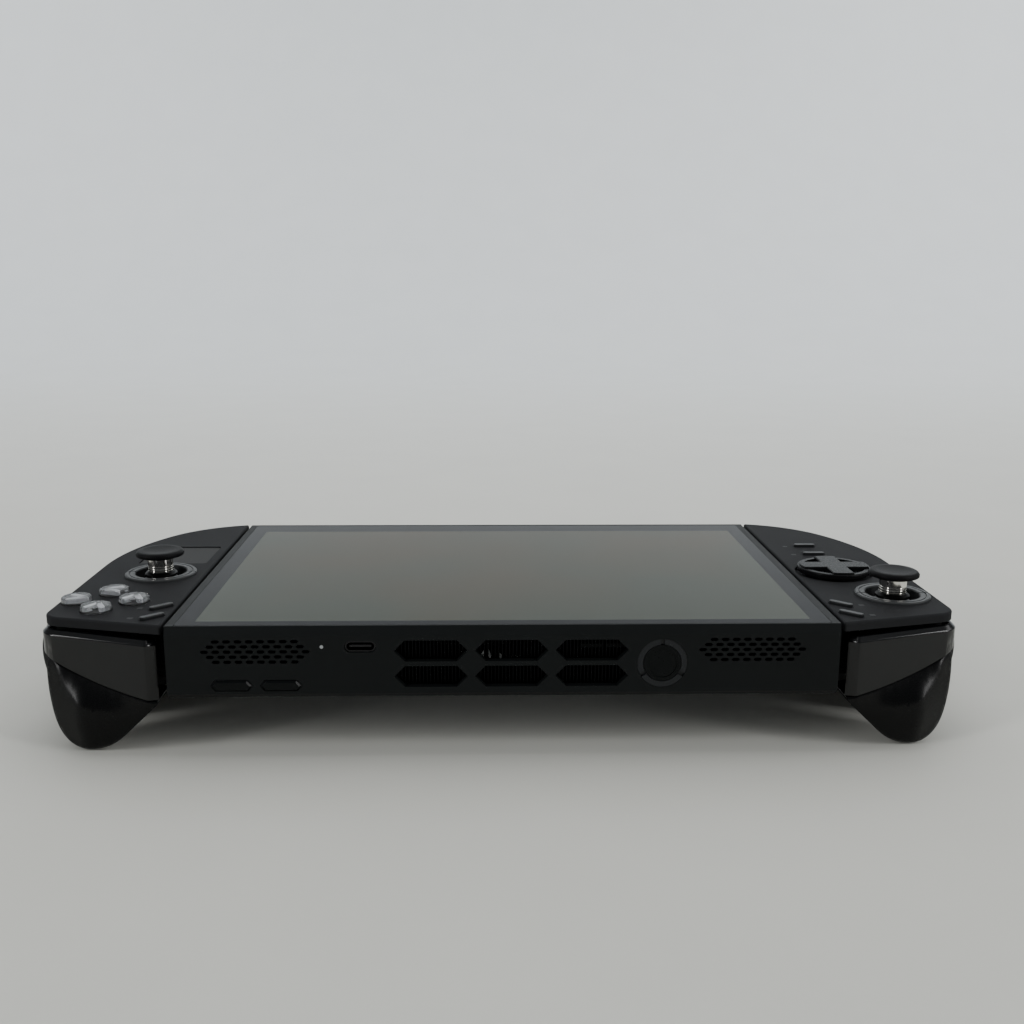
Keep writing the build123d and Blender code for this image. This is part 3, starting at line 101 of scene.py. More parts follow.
class Value:
    """A shader socket that can stand in a Python expression."""

    def __init__(self, graph: "Graph", socket: bpy.types.NodeSocket) -> None:
        """Keeps the graph and the socket."""
        self.graph = graph
        self.socket = socket

    def _math(self, operation: str, *operands: Operand) -> "Value":
        """Adds one Math node.

        Args:
            operation: The node's operation.
            operands: Values or numbers, in order.

        Returns:
            The node's result.
        """
        inputs = dict(enumerate(operands))
        node = self.graph.node("ShaderNodeMath", {"operation": operation}, inputs)
        return Value(self.graph, node.outputs[0])

    def __add__(self, other: Operand) -> "Value":
        """Sum."""
        return self._math("ADD", self, other)

    def __radd__(self, other: Number) -> "Value":
        """Sum with a number on the left."""
        return self._math("ADD", other, self)

    def __sub__(self, other: Operand) -> "Value":
        """Difference."""
        return self._math("SUBTRACT", self, other)

    def __rsub__(self, other: Number) -> "Value":
        """Difference from a number."""
        return self._math("SUBTRACT", other, self)

    def __mul__(self, other: Operand) -> "Value":
        """Product."""
        return self._math("MULTIPLY", self, other)

    def __rmul__(self, other: Number) -> "Value":
        """Product with a number on the left."""
        return self._math("MULTIPLY", other, self)

    def __truediv__(self, other: Operand) -> "Value":
        """Quotient."""
        return self._math("DIVIDE", self, other)

    def __abs__(self) -> "Value":
        """Size without its sign."""
        return self._math("ABSOLUTE", self)

    def wave(self) -> "Value":
        """Sine."""
        return self._math("SINE", self)

    def most(self, other: Operand) -> "Value":
        """The larger of two."""
        return self._math("MAXIMUM", self, other)

    def ramp(self, low: float, high: float) -> "Value":
        """Runs from 0 at low to 1 at high and stays between them.

        Args:
            low: Value that becomes 0.
            high: Value that becomes 1.

        Returns:
            The share of the way from low to high.
        """
        settings = {"clamp": True}
        inputs = {"Value": self, "From Min": low, "From Max": high}
        node = self.graph.node("ShaderNodeMapRange", settings, inputs)
        return Value(self.graph, node.outputs["Result"])


class Graph:
    """A material's node tree, built by one method."""

    def __init__(self, name: str) -> None:
        """Makes an empty material."""
        self.material = bpy.data.materials.new(name)
        self.material.use_nodes = True
        self.tree = self.material.node_tree
        self.tree.nodes.clear()

    def node(
        self,
        kind: str,
        settings: Mapping[str, object] | None = None,
        inputs: Mapping[str | int, object] | None = None,
    ) -> bpy.types.Node:
        """Adds a node.

        Args:
            kind: The node's type.
            settings: Attributes that are set first, such as a Math node's operation.
            inputs: Values or links by socket name or number.

        Returns:
            The node.
        """
        node = self.tree.nodes.new(kind)
        for key, value in (settings or {}).items():
            setattr(node, key, value)
        for key, value in (inputs or {}).items():
            if isinstance(value, Value):
                self.tree.links.new(value.socket, node.inputs[key])
            elif isinstance(value, bpy.types.NodeSocket):
                self.tree.links.new(value, node.inputs[key])
            else:
                node.inputs[key].default_value = value
        return node

    def position(self) -> bpy.types.NodeSocket:
        """Object coordinates, in metres."""
        return self.node("ShaderNodeTexCoord").outputs["Object"]

    def axes(self) -> tuple[Value, Value, Value]:
        """Object coordinates in millimetres: x, distance from the vented edge, height over the faces."""
        split = self.node("ShaderNodeSeparateXYZ", None, {0: self.position()})
        x, y, z = (Value(self, split.outputs[index]) / MM for index in range(3))
        return x, y + DEPTH / 2, z - FACE_HEIGHT

    def noise(self, size: float, detail: float = 3.0, stretch: Vector | None = None) -> Value:
        """Noise whose grains are about the given size.

        Args:
            size: Grain size in millimetres.
            detail: Number of finer layers.
            stretch: Scale of the coordinates along each axis.

        Returns:
            The noise, around one half.
        """
        where = self.position()
        if stretch is not None:
            where = self.node("ShaderNodeMapping", None, {"Vector": where, "Scale": stretch}).outputs[0]
        inputs = {"Vector": where, "Scale": 1 / (size * MM), "Detail": detail}
        return Value(self, self.node("ShaderNodeTexNoise", None, inputs).outputs["Fac"])

    def cells(self, size: float) -> Value:
        """Distance to the nearest of scattered points, about the given millimetres apart."""
        inputs = {"Vector": self.position(), "Scale": 1 / (size * MM)}
        return Value(self, self.node("ShaderNodeTexVoronoi", None, inputs).outputs["Distance"])

    def blend(self, factor: Value, low: object, high: object) -> bpy.types.NodeSocket:
        """Colour between two colours.

        Args:
            factor: 0 for the low colour, 1 for the high one.
            low: Colour or link.
            high: Colour or link.

        Returns:
            The mixed colour.
        """
        inputs = {"Factor": factor, MIX_LOW: low, MIX_HIGH: high}
        return self.node("ShaderNodeMix", {"data_type": "RGBA"}, inputs).outputs[MIX_RESULT]

    def bump(self, height: Value, depth: float) -> bpy.types.NodeSocket:
        """Normal bent by a height map of the given depth in millimetres."""
        inputs = {"Height": height, "Distance": depth * MM}
        return self.node("ShaderNodeBump", None, inputs).outputs["Normal"]

    def surface(self, inputs: Mapping[str | int, object]) -> bpy.types.Material:
        """Ends the tree in one principled shader.

        Args:
            inputs: Values or links by socket name.

        Returns:
            The finished material.
        """
        shader = self.node("ShaderNodeBsdfPrincipled", None, inputs)
        self.node("ShaderNodeOutputMaterial", None, {"Surface": shader.outputs[0]})
        return self.material


def tone(colour: Sequence[float], share: float = 1.0) -> tuple[float, float, float, float]:
    """Opaque colour, lightened or darkened by a share."""
    return (*(min(1.0, part * share) for part in colour), 1.0)


# Finishes


@dataclass(frozen=True)
class Moulded:
    """Moulded or painted surface with a fine grain and a slight unevenness of tone."""

    name: str
    colour: tuple[float, float, float]
    roughness: float = 0.5
    metallic: float = 0.0
    specular: float = 0.5
    grain: float = 0.35
    grain_depth: float = 0.02
    variation: float = 0.12
    cloud: float = 28.0
    grain_share: float = 0.3
    grain_wear: float = 0.12
    cloud_wear: float = 0.1

    def build(self) -> bpy.types.Material:
        """Makes the material."""
        graph = Graph(self.name)
        fine = graph.noise(self.grain)
        broad = graph.noise(self.cloud, detail=2.0)
        shade = (broad * (1 - self.grain_share) + fine * self.grain_share).ramp(*NOISE_SPAN)
        dark = tone(self.colour, 1 - self.variation)
        bright = tone(self.colour, 1 + self.variation)
        return graph.surface({
            "Base Color": graph.blend(shade, dark, bright),
            "Roughness": (fine - 0.5) * self.grain_wear + (broad - 0.5) * self.cloud_wear + self.roughness,
            "Metallic": self.metallic,
            "Specular IOR Level": self.specular,
            "Normal": graph.bump(fine, self.grain_depth),
        })


@dataclass(frozen=True)
class Pebbled:
    """Grip plastic with small rounded pebbles over a fine grain; painted highlight on their crowns, painted
    shade in the grooves.
    """

    name: str
    colour: tuple[float, float, float]
    pebble: float = 0.9
    pebble_depth: float = 0.05
    pebble_span: tuple[float, float] = (0.1, 0.55)
    # Shares of the colour for the painted highlight on the pebble crowns and the painted shade in the grooves
    crown_tone: float = 1.15
    groove_tone: float = 0.8
    grain: float = 0.25
    grain_share: float = 0.3
    grain_wear: float = 0.15
    roughness: float = 0.62
    specular: float = 0.2

    def build(self) -> bpy.types.Material:
        """Makes the material."""
        graph = Graph(self.name)
        pebbles = graph.cells(self.pebble).ramp(*self.pebble_span)
        fine = graph.noise(self.grain)
        lit_crown = tone(self.colour, self.crown_tone)
        shaded_groove = tone(self.colour, self.groove_tone)
        return graph.surface({
            # Painted highlight on each pebble's crown and painted shade in the grooves between pebbles
            "Base Color": graph.blend(pebbles, lit_crown, shaded_groove),
            "Roughness": (fine - 0.5) * self.grain_wear + self.roughness,
            "Specular IOR Level": self.specular,
            "Normal": graph.bump((1 - pebbles) + fine * self.grain_share, self.pebble_depth),
        })


@dataclass(frozen=True)
class Metal:
    """Bare or plated metal with fine marks along one axis."""

    name: str
    colour: tuple[float, float, float]
    roughness: float = 0.25
    marks: tuple[float, float, float] = (1.0, 1.0, 1.0)
    mark_size: float = 0.5
    mark_depth: float = 0.01
    dark_tone: float = 0.85
    bright_tone: float = 1.1
    wear: float = 0.2

    def build(self) -> bpy.types.Material:
        """Makes the material."""
        graph = Graph(self.name)
        marks = graph.noise(self.mark_size, stretch=Vector(self.marks))
        dark = tone(self.colour, self.dark_tone)
        bright = tone(self.colour, self.bright_tone)
        return graph.surface({
            "Base Color": graph.blend(marks.ramp(*NOISE_SPAN), dark, bright),
            "Roughness": (marks - 0.5) * self.wear + self.roughness,
            "Metallic": 1.0,
            "Normal": graph.bump(marks, self.mark_depth),
        })


@dataclass(frozen=True)
class ScreenGlass:
    """Cover glass: black border, and a paler picture area that shows through an anti-glare layer."""

    name: str = "screen glass"
    picture_half: float = 94.75
    picture_near: float = 5.5
    picture_far: float = 124.0
    border: tuple[float, float, float] = (0.003, 0.003, 0.005)
    warm: tuple[float, float, float] = (0.066, 0.060, 0.045)
    green: tuple[float, float, float] = (0.055, 0.062, 0.050)
    roughness: float = 0.1
    specular: float = 0.036
    index: float = 1.5
    edge: float = 0.05
    cloud: float = 60.0
    cloud_span: tuple[float, float] = (0.25, 0.65)
    cloud_across: float = 400.0
    cloud_along: float = 500.0
    smear: float = 9.0
    smear_stretch: tuple[float, float, float] = (1.0, 0.3, 1.0)
    smear_wear: float = 0.03
    picture_wear: float = 0.05

    def build(self) -> bpy.types.Material:
        """Makes the material."""
        graph = Graph(self.name)
        x, distance, _ = graph.axes()
        across = (self.picture_half - abs(x)).ramp(-self.edge, self.edge)
        near = (distance - self.picture_near).ramp(-self.edge, self.edge)
        far = (self.picture_far - distance).ramp(-self.edge, self.edge)
        picture = across * (near * far)
        cloud = graph.noise(self.cloud, detail=1.0) + abs(x) / self.cloud_across - distance / self.cloud_along
        lit = graph.blend(cloud.ramp(*self.cloud_span), tone(self.warm), tone(self.green))
        smear = graph.noise(self.smear, detail=4.0, stretch=Vector(self.smear_stretch))
        return graph.surface({
            "Base Color": graph.blend(picture, tone(self.border), lit),
            "Roughness": (smear - 0.5) * self.smear_wear + picture * self.picture_wear + self.roughness,
            "Specular IOR Level": self.specular,
            "IOR": self.index,
        })


@dataclass(frozen=True)
class ClearPlastic:
    """Clear moulded cap with faint flow marks."""

    name: str = "clear button plastic"
    colour: tuple[float, float, float] = (0.96, 0.97, 0.98)
    roughness: float = 0.04
    index: float = 1.2
    transmission: float = 0.97
    flow: float = 1.6
    flow_tone: float = 0.97
    flow_wear: float = 0.05
    flow_depth: float = 0.004

    def build(self) -> bpy.types.Material:
        """Makes the material."""
        graph = Graph(self.name)
        flow = graph.noise(self.flow, detail=2.0)
        return graph.surface({
            "Base Color": graph.blend(
                flow.ramp(*NOISE_SPAN), tone(self.colour, self.flow_tone), tone(self.colour)
            ),
            "Roughness": (flow - 0.5) * self.flow_wear + self.roughness,
            "IOR": self.index,
            "Transmission Weight": self.transmission,
            "Normal": graph.bump(flow, self.flow_depth),
        })


@dataclass(frozen=True)
class Woven:
    """Fine acoustic cloth or mesh seen through a grille."""

    name: str = "speaker mesh"
    colour: tuple[float, float, float] = (0.006, 0.006, 0.007)
    pitch: float = 0.35
    depth: float = 0.08
    thread_span: tuple[float, float] = (-0.4, 0.6)
    gap_tone: float = 0.3
    thread_tone: float = 2.2
    roughness: float = 0.7
    specular: float = 0.1

    def build(self) -> bpy.types.Material:
        """Makes the material."""
        graph = Graph(self.name)
        x, _, height = graph.axes()
        turn = 2 * math.pi / self.pitch
        threads = ((x * turn).wave() * (height * turn).wave()).ramp(*self.thread_span)
        gap = tone(self.colour, self.gap_tone)
        thread = tone(self.colour, self.thread_tone)
        return graph.surface({
            "Base Color": graph.blend(threads, gap, thread),
            "Roughness": self.roughness,
            "Specular IOR Level": self.specular,
            "Normal": graph.bump(threads, self.depth),
        })


@dataclass(frozen=True)
class CircuitBoard:
    """Solder mask over copper tracks."""

    name: str = "circuit board"
    colour: tuple[float, float, float] = (0.008, 0.022, 0.016)
    copper: tuple[float, float, float] = (0.05, 0.075, 0.04)
    pitch: float = 1.7
    bend_size: float = 14.0
    bend: float = 9.0
    track_span: tuple[float, float] = (0.82, 0.9)
    track_wear: float = 0.1
    track_height: float = 0.03
    roughness: float = 0.35

    def build(self) -> bpy.types.Material:
        """Makes the material."""
        graph = Graph(self.name)
        x, distance, _ = graph.axes()
        turn = 2 * math.pi / self.pitch
        bend = graph.noise(self.bend_size, detail=0.0) * self.bend
        tracks = (x * turn + bend).wave().most((distance * turn + bend).wave()).ramp(*self.track_span)
        return graph.surface({
            "Base Color": graph.blend(tracks, tone(self.colour), tone(self.copper)),
            "Roughness": tracks * self.track_wear + self.roughness,
            "Normal": graph.bump(tracks, self.track_height),
        })


@dataclass(frozen=True)
class StudioPaper:
    """Pale seamless background, a little cooler up the wall."""

    name: str = "studio paper"
    floor: tuple[float, float, float] = (0.62, 0.622, 0.575)
    wall: tuple[float, float, float] = (0.60, 0.63, 0.645)
    wall_span: tuple[float, float] = (200.0, 1500.0)
    mottle: float = 55.0
    dark_tone: float = 0.985
    bright_tone: float = 1.01
    roughness: float = 0.75
    specular: float = 0.2

    def build(self) -> bpy.types.Material:
        """Makes the material."""
        graph = Graph(self.name)
        mottle = graph.noise(self.mottle).ramp(*NOISE_SPAN)
        _, distance, _ = graph.axes()
        cool = distance.ramp(*self.wall_span)
        dark, bright = (
            graph.blend(cool, tone(self.floor, share), tone(self.wall, share))
            for share in (self.dark_tone, self.bright_tone)
        )
        return graph.surface({
            "Base Color": graph.blend(mottle, dark, bright),
            "Roughness": self.roughness,
            "Specular IOR Level": self.specular,
        })


class Paint(Enum):
    """Every finish used on the console."""

    HOUSING = Moulded(
        "housing enamel", (0.0056, 0.0068, 0.0071),
        roughness=0.55, specular=0.14, grain=0.3, grain_depth=0.012,
    )
    COVER = Moulded("rear cover enamel", (0.006, 0.0065, 0.0075), specular=0.4, grain=0.4)
    STAND = Moulded(
        "kickstand enamel", (0.008, 0.009, 0.010),
        roughness=0.42, metallic=0.3, grain=0.3, grain_depth=0.015,
    )
    PLATE = Moulded("face plate plastic", (0.020, 0.0205, 0.0218), roughness=0.6, specular=0.03, grain=0.28)
    GRIP = Pebbled("grip plastic", (0.006, 0.0063, 0.0065))
    LEVER = Moulded(
        "trigger plastic", (0.0012, 0.0013, 0.0015),
        roughness=0.27, specular=0.17, grain=0.22, grain_depth=0.005,
    )
    BUMPER = Moulded(
        "bumper plastic", (0.003, 0.0034, 0.0038),
        roughness=0.2, specular=0.36, grain=0.22, grain_depth=0.004,
    )
    BUTTON = Moulded(
        "button plastic", (0.0022, 0.003, 0.0033),
        roughness=0.3, specular=0.12, grain=0.3, grain_depth=0.008,
    )
    GLOSS = Moulded(
        "gloss black plastic", (0.0065, 0.0065, 0.007),
        roughness=0.26, specular=0.045, grain=0.6, grain_depth=0.004,
    )
    RING = Moulded(
        "stick ring plastic", (0.036, 0.038, 0.039),
        roughness=0.4, specular=0.2, grain=0.3, grain_depth=0.015,
    )
    POWER_RING = Moulded(
        "power ring plastic", (0.0105, 0.0118, 0.0138),
        roughness=0.35, specular=0.25, grain=0.3, grain_depth=0.01,
    )
    PAD = Moulded("touchpad surface", (0.034, 0.0345, 0.0345), specular=0.03, grain=0.2, grain_depth=0.008)
    RUBBER = Moulded("cap rubber", (0.0045, 0.0045, 0.005), specular=0.08, variation=0.2)
    PILL = Moulded(
        "small button plastic", (0.016, 0.017, 0.018),
        roughness=0.3, specular=0.12, grain=0.4, grain_depth=0.005,
    )
    DOME = Moulded(
        "dust dome plastic", (0.11, 0.113, 0.117), roughness=0.35, specular=0.4, grain=0.4, grain_depth=0.01
    )
    COLLAR = Moulded(
        "stick collar plastic", (0.0015, 0.0015, 0.0015),
        roughness=0.35, specular=0.1, grain=0.4, grain_depth=0.005,
    )
    INNER = Moulded("inner plastic", (0.01, 0.01, 0.01))
    FOIL = Moulded(
        "battery foil", (0.05, 0.05, 0.055),
        roughness=0.4, metallic=0.6, grain=1.2, grain_depth=0.05, variation=0.15,
    )
    LENS = Moulded(
        "light lens", (0.35, 0.37, 0.38), roughness=0.25, grain=0.2, grain_depth=0.005, variation=0.05
    )
    MARK = Moulded(
        "printed mark", (0.075, 0.077, 0.078), roughness=0.6, specular=0.1, grain=0.2, grain_depth=0.005
    )
    INSERT = Moulded(
        "button insert", (0.02, 0.021, 0.021), roughness=0.4, specular=0.3, grain=0.3, grain_depth=0.01
    )
    STROKE = Moulded("button chevron", (0.42, 0.43, 0.45), roughness=0.35, grain=0.3, grain_depth=0.01)
    CHROME = Metal(
        "stick chrome", (0.72, 0.70, 0.66),
        roughness=0.1, marks=(1.0, 1.0, 6.0), mark_size=0.6, mark_depth=0.0008,
    )
    STEEL = Metal(
        "bare steel", (0.42, 0.42, 0.43),
        roughness=0.32, marks=(1.0, 0.1, 1.0), mark_size=0.4, mark_depth=0.008,
    )
    PORT = Metal("port steel", (0.03, 0.03, 0.032), roughness=0.35, mark_size=0.4, mark_depth=0.006)
    SCREW = Metal("screw steel", (0.05, 0.05, 0.052), roughness=0.35, mark_size=0.3, mark_depth=0.008)
    FINS = Metal("fin metal", (0.010, 0.0105, 0.011), roughness=0.45, marks=(1.0, 0.2, 1.0))
    GLASS = ScreenGlass()
    CLEAR = ClearPlastic()
    MESH = Woven()
    BOARD = CircuitBoard()
    PAPER = StudioPaper()

    def material(self) -> bpy.types.Material:
        """The finish's material, made once."""
        found = bpy.data.materials.get(self.value.name)
        return found or self.value.build()


def dress(paint: Paint, *nodes: str) -> None:
    """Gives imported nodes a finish.

    Args:
        paint: The finish.
        nodes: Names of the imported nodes.
    """
    for node in nodes:
        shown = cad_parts[node]
        for slot in shown.material_slots:
            slot.material = paint.material()
        log.info("%s: %s", node, paint.value.name)


# Meshes


def join_rings(
    mesh: bmesh.types.BMesh, low: Sequence[bmesh.types.BMVert], high: Sequence[bmesh.types.BMVert]
) -> None:
    """Adds the band of faces between two rings.

    Args:
        mesh: The mesh that gets the faces.
        low: Corners of one ring.
        high: As many corners of the other.
    """
    count = len(low)
    for index in range(count):
        after = (index + 1) % count
        mesh.faces.new((low[index], low[after], high[after], high[index]))


class Sheet:
    """Collects faces and turns them into one piece."""

    def __init__(self) -> None:
        """Starts empty."""
        self.mesh = bmesh.new()

    def lathe(self, centre: Vector, profile: Sequence[tuple[float, float]], segments: int) -> None:
        """Turns a closed profile round an upright axis.

        Args:
            centre: Point of the frame on the axis, at the profile's zero height.
            profile: Radius and height of each point, in millimetres.
            segments: Number of steps round.
        """
        rings = []
        for radius, height in profile:
            ring = []
            for step in range(segments):
                angle = 2 * math.pi * step / segments
                offset = Vector((math.cos(angle) * radius, math.sin(angle) * radius, height)) * MM
                ring.append(self.mesh.verts.new(centre + offset))
            rings.append(ring)
        for low, high in zip(rings, rings[1:] + rings[:1]):
            join_rings(self.mesh, low, high)

    def prism(self, outline: Sequence[Vector], rise: float) -> None:
        """Raises a level outline.

        Args:
            outline: Points of the frame, in metres.
            rise: Height in millimetres, below zero to go down.
        """
        low = [self.mesh.verts.new(point) for point in outline]
        high = [self.mesh.verts.new(point + Vector((0, 0, rise * MM))) for point in outline]
        join_rings(self.mesh, low, high)
        self.mesh.faces.new(reversed(low))
        self.mesh.faces.new(high)

    def piece(self, name: str, paint: Paint, body: str) -> bpy.types.Object:
        """Finishes the mesh as a piece that rides on a body.

        Args:
            name: The piece's name.
            paint: Its finish.
            body: The body that it rides on.

        Returns:
            The piece.
        """
        bmesh.ops.remove_doubles(self.mesh, verts=self.mesh.verts, dist=MERGE_DISTANCE)
        bmesh.ops.recalc_face_normals(self.mesh, faces=self.mesh.faces)
        return finish_piece(mesh_data(self.mesh, name), name, paint, body)


def mesh_data(mesh: bmesh.types.BMesh, name: str) -> bpy.types.Mesh:
    """Turns a mesh under construction into mesh data and frees it.

    Args:
        mesh: The mesh.
        name: The data's name.

    Returns:
        The data.
    """
    data = bpy.data.meshes.new(name)
    mesh.to_mesh(data)
    mesh.free()
    return data


def finish_piece(data: bpy.types.Mesh, name: str, paint: Paint, body: str) -> bpy.types.Object:
    """Names, paints and shades a mesh and lets it ride on a body.

    Args:
        data: The mesh, in the frame's metres.
        name: The piece's name.
        paint: Its finish.
        body: The body that it rides on.

    Returns:
        The piece.
    """
    data.materials.clear()
    data.materials.append(paint.material())
    for face in data.polygons:
        face.material_index = 0
    data.shade_smooth()
    data.set_sharp_from_angle(angle=math.radians(SMOOTH_ANGLE))
    made = bpy.data.objects.new(name, data)
    bpy.context.scene.collection.objects.link(made)
    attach(made, body)
    log.info("%s: %d faces on %s", name, len(data.polygons), body)
    return made


# Stand-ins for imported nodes


def merged_copy(node: str) -> bmesh.types.BMesh:
    """Copy of a node's mesh, with its loose triangles joined."""
    mesh = bmesh.new()
    mesh.from_mesh(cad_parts[node].data)
    bmesh.ops.remove_doubles(mesh, verts=mesh.verts, dist=MERGE_DISTANCE)
    return mesh


def stand_in(mesh: bmesh.types.BMesh, node: str, form: str, paint: Paint) -> bpy.types.Object:
    """Finishes a mesh as the piece that is shown in place of a node.

    Args:
        mesh: The new shape.
        node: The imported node, which has the same name as its body.
        form: Word that ends the piece's name.
        paint: The piece's finish.

    Returns:
        The piece.
    """
    bmesh.ops.recalc_face_normals(mesh, faces=mesh.faces)
    name = f"{node}_{form}"
    piece = finish_piece(mesh_data(mesh, name), name, paint, node)
    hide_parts(node)
    return piece


@dataclass
class EasedBumper:
    """Bumper whose sharp front edges are rounded."""

    side: Side
    width: float = 0.65
    turn: float = 30.0
    steps: int = 5
    roundness: float = 0.5
    flat_area: float = 25.0
    level: float = 0.5
    forward: float = 0.1

    def build(self) -> None:
        """Makes the stand-in from the node's own form, with its large faces shaded flat."""
        node = f"{self.side.word}_bumper"
        mesh = merged_copy(node)
        level = math.radians(self.level)
        bmesh.ops.dissolve_limit(mesh, angle_limit=level, verts=mesh.verts, edges=mesh.edges)
        bmesh.ops.recalc_face_normals(mesh, faces=mesh.faces)
        bmesh.ops.bevel(
            mesh,
            geom=[edge for edge in mesh.edges if self._sharp(edge)],
            offset=self.width * MM,
            segments=self.steps,
            profile=self.roundness,
            affect="EDGES",
            clamp_overlap=True,
        )
        piece = stand_in(mesh, node, "eased", Paint.BUMPER)
        for face in piece.data.polygons:
            face.use_smooth = face.area < self.flat_area * MM * MM

    def _sharp(self, edge: bmesh.types.BMEdge) -> bool:
        """True for an edge that stands out between two faces of the front."""
        if not edge.is_manifold or edge.calc_face_angle_signed() <= math.radians(self.turn):
            return False
        return all(face.normal.y < -self.forward for face in edge.link_faces)


@dataclass
class FlushTrigger:
    """Trigger whose front meets the bumper's lower edge without a step."""

    side: Side
    inner: float = 110.0
    outer: float = 141.0
    step: float = 1.0
    scan_top: float = 8.0
    scan_bottom: float = 30.0
    scan_step: float = 0.1
    lip: float = 0.15
    rim: float = 142.2
    rim_fade: float = 4.5
    fade: float = 9.0
    reach: float = 3.0
    longest: float = 1.4
    rounds: int = 5
    below: float = 0.7

    def build(self) -> None:
        """Makes the stand-in from the node's own form."""
        word = self.side.word
        bumper = self._tree(f"{word}_bumper")
        trigger = self._tree(f"{word}_trigger")
        stations = []
        for index in range(int((self.outer - self.inner) / self.step) + 1):
            x = self.inner + index * self.step
            low = self._lower_edge(bumper, x)
            shift = self._front(bumper, x, low) - self.lip - self._front(trigger, x, low + self.below)
            stations.append((low, shift))
        mesh = merged_copy(f"{word}_trigger")
        for _ in range(self.rounds):
            edges = [edge for edge in mesh.edges if edge.calc_length() > self.longest * MM]
            bmesh.ops.subdivide_edges(mesh, edges=edges, cuts=1)
            bmesh.ops.triangulate(mesh, faces=mesh.faces)
        moves = {vertex: self._move(vertex.co, trigger, stations) for vertex in mesh.verts}
        for vertex, move in moves.items():
            vertex.co.y += move * MM
        stand_in(mesh, f"{word}_trigger", "flush", Paint.LEVER)

    @staticmethod
    def _tree(node: str) -> BVHTree:
        """Search tree of a node's faces."""
        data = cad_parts[node].data
        corners = [vertex.co for vertex in data.vertices]
        return BVHTree.FromPolygons(corners, [face.vertices for face in data.polygons])

    def _front(self, tree: BVHTree, x: float, drop: float) -> float | None:
        """Finds the foremost face at a place in the front view.

        Args:
            tree: The faces.
            x: Millimetres from the middle of the console.
            drop: Millimetres below the faces.

        Returns:
            Its distance from the vented edge, or None where there is no face.
        """
        start = place(self.side.value * x, -DEPTH, -drop)
        hit = tree.ray_cast(start, Vector((0, 1, 0)))[0]
        return None if hit is None else hit.y / MM + DEPTH / 2

    def _lower_edge(self, tree: BVHTree, x: float) -> float:
        """Finds the bumper's lower edge.

        Args:
            tree: The bumper's faces.
            x: Millimetres from the middle of the console.

        Returns:
            How far the edge lies below the faces, in millimetres.
        """
        steps = int((self.scan_bottom - self.scan_top) / self.scan_step)
        drops = [self.scan_top + index * self.scan_step for index in range(steps)]
        return max(drop for drop in drops if self._front(tree, x, drop) is not None)

    def _move(self, point: Vector, tree: BVHTree, stations: Sequence[tuple[float, float]]) -> float:
        """How far a point goes back, in millimetres.

        Args:
            point: The point in the frame, in metres.
            tree: The trigger's faces.
            stations: The bumper's lower edge and the whole shift at each step across.

        Returns:
            The shift, which fades below the edge, behind the front and towards the outer rim.
        """
        x = abs(point.x) / MM
        across = min(max((x - self.inner) / self.step, 0.0), len(stations) - 1)
        index = min(int(across), len(stations) - 2)
        share = across - index
        low, shift = (a + (b - a) * share for a, b in zip(stations[index], stations[index + 1]))
        drop = FACE_HEIGHT - point.z / MM
        below = limited((drop - low) / self.fade)
        front = self._front(tree, x, max(drop, low + self.below))
        if front is None or drop < low - self.below:
            return 0.0
        depth = point.y / MM + DEPTH / 2 - front
        shift *= limited((self.rim - x) / self.rim_fade)
        return shift * (1 - below * below * (3 - 2 * below)) * max(0.0, 1 - depth / self.reach)


def limited(share: float) -> float:
    """The share, kept between 0 and 1."""
    return min(max(share, 0.0), 1.0)


# Repeats


class Repeat:
    """A Geometry Nodes tree that sets copies of a small shape on points."""

    def __init__(self, name: str, paint: Paint) -> None:
        """Starts a tree with the inputs that every repeat has."""
        self.name = name
        self.paint = paint
        self.tree = bpy.data.node_groups.new(name, "GeometryNodeTree")
        self.tree.interface.new_socket("Geometry", in_out="OUTPUT", socket_type="NodeSocketGeometry")
        self.inputs: dict[str, tuple[str, object]] = {}
        self.source: bpy.types.Node | None = None

    def number(self, name: str, value: Number | bpy.types.Object) -> None:
        """Declares a named input.

        Args:
            name: The input's name.
            value: The number or object that it gets.
        """
        kinds = {int: "NodeSocketInt", float: "NodeSocketFloat", bpy.types.Object: "NodeSocketObject"}
        socket = self.tree.interface.new_socket(name, in_out="INPUT", socket_type=kinds[type(value)])
        self.inputs[name] = (socket.identifier, value)

    def node(self, kind: str, inputs: Mapping[str | int, object]) -> bpy.types.Node:
        """Adds a node.

        Args:
            kind: The node's type.
            inputs: Values or links by socket name or number; a text that starts with @ names a tree input.

        Returns:
            The node.
        """
        made = self.tree.nodes.new(kind)
        for key, value in inputs.items():
            if isinstance(value, str) and value.startswith("@"):
                self.source = self.source or self.tree.nodes.new("NodeGroupInput")
                self.tree.links.new(self.source.outputs[value[1:]], made.inputs[key])
            elif isinstance(value, bpy.types.NodeSocket):
                self.tree.links.new(value, made.inputs[key])
            else:
                made.inputs[key].default_value = value
        return made

    def finish(self, instances: bpy.types.NodeSocket, body: str) -> bpy.types.Object:
        """Realises the copies as a plain mesh on a body.

        Args:
            instances: Output that holds the copies, in the frame's metres.
            body: The body that the piece rides on.

        Returns:
            The piece.
        """
        real = self.node("GeometryNodeRealizeInstances", {0: instances})
        painted = self.node(
            "GeometryNodeSetMaterial", {"Geometry": real.outputs[0], "Material": self.paint.material()}
        )
        end = self.tree.nodes.new("NodeGroupOutput")
        self.tree.links.new(painted.outputs[0], end.inputs[0])
        holder = bpy.data.objects.new(self.name + " holder", bpy.data.meshes.new(self.name + " holder"))
        bpy.context.scene.collection.objects.link(holder)
        modifier = holder.modifiers.new("repeat", "NODES")
        modifier.node_group = self.tree
        for identifier, value in self.inputs.values():
            modifier[identifier] = value
        graph = bpy.context.evaluated_depsgraph_get()
        data = bpy.data.meshes.new_from_object(holder.evaluated_get(graph))
        holder.modifiers.remove(modifier)
        bpy.data.objects.remove(holder)
        return finish_piece(data, self.name, self.paint, body)


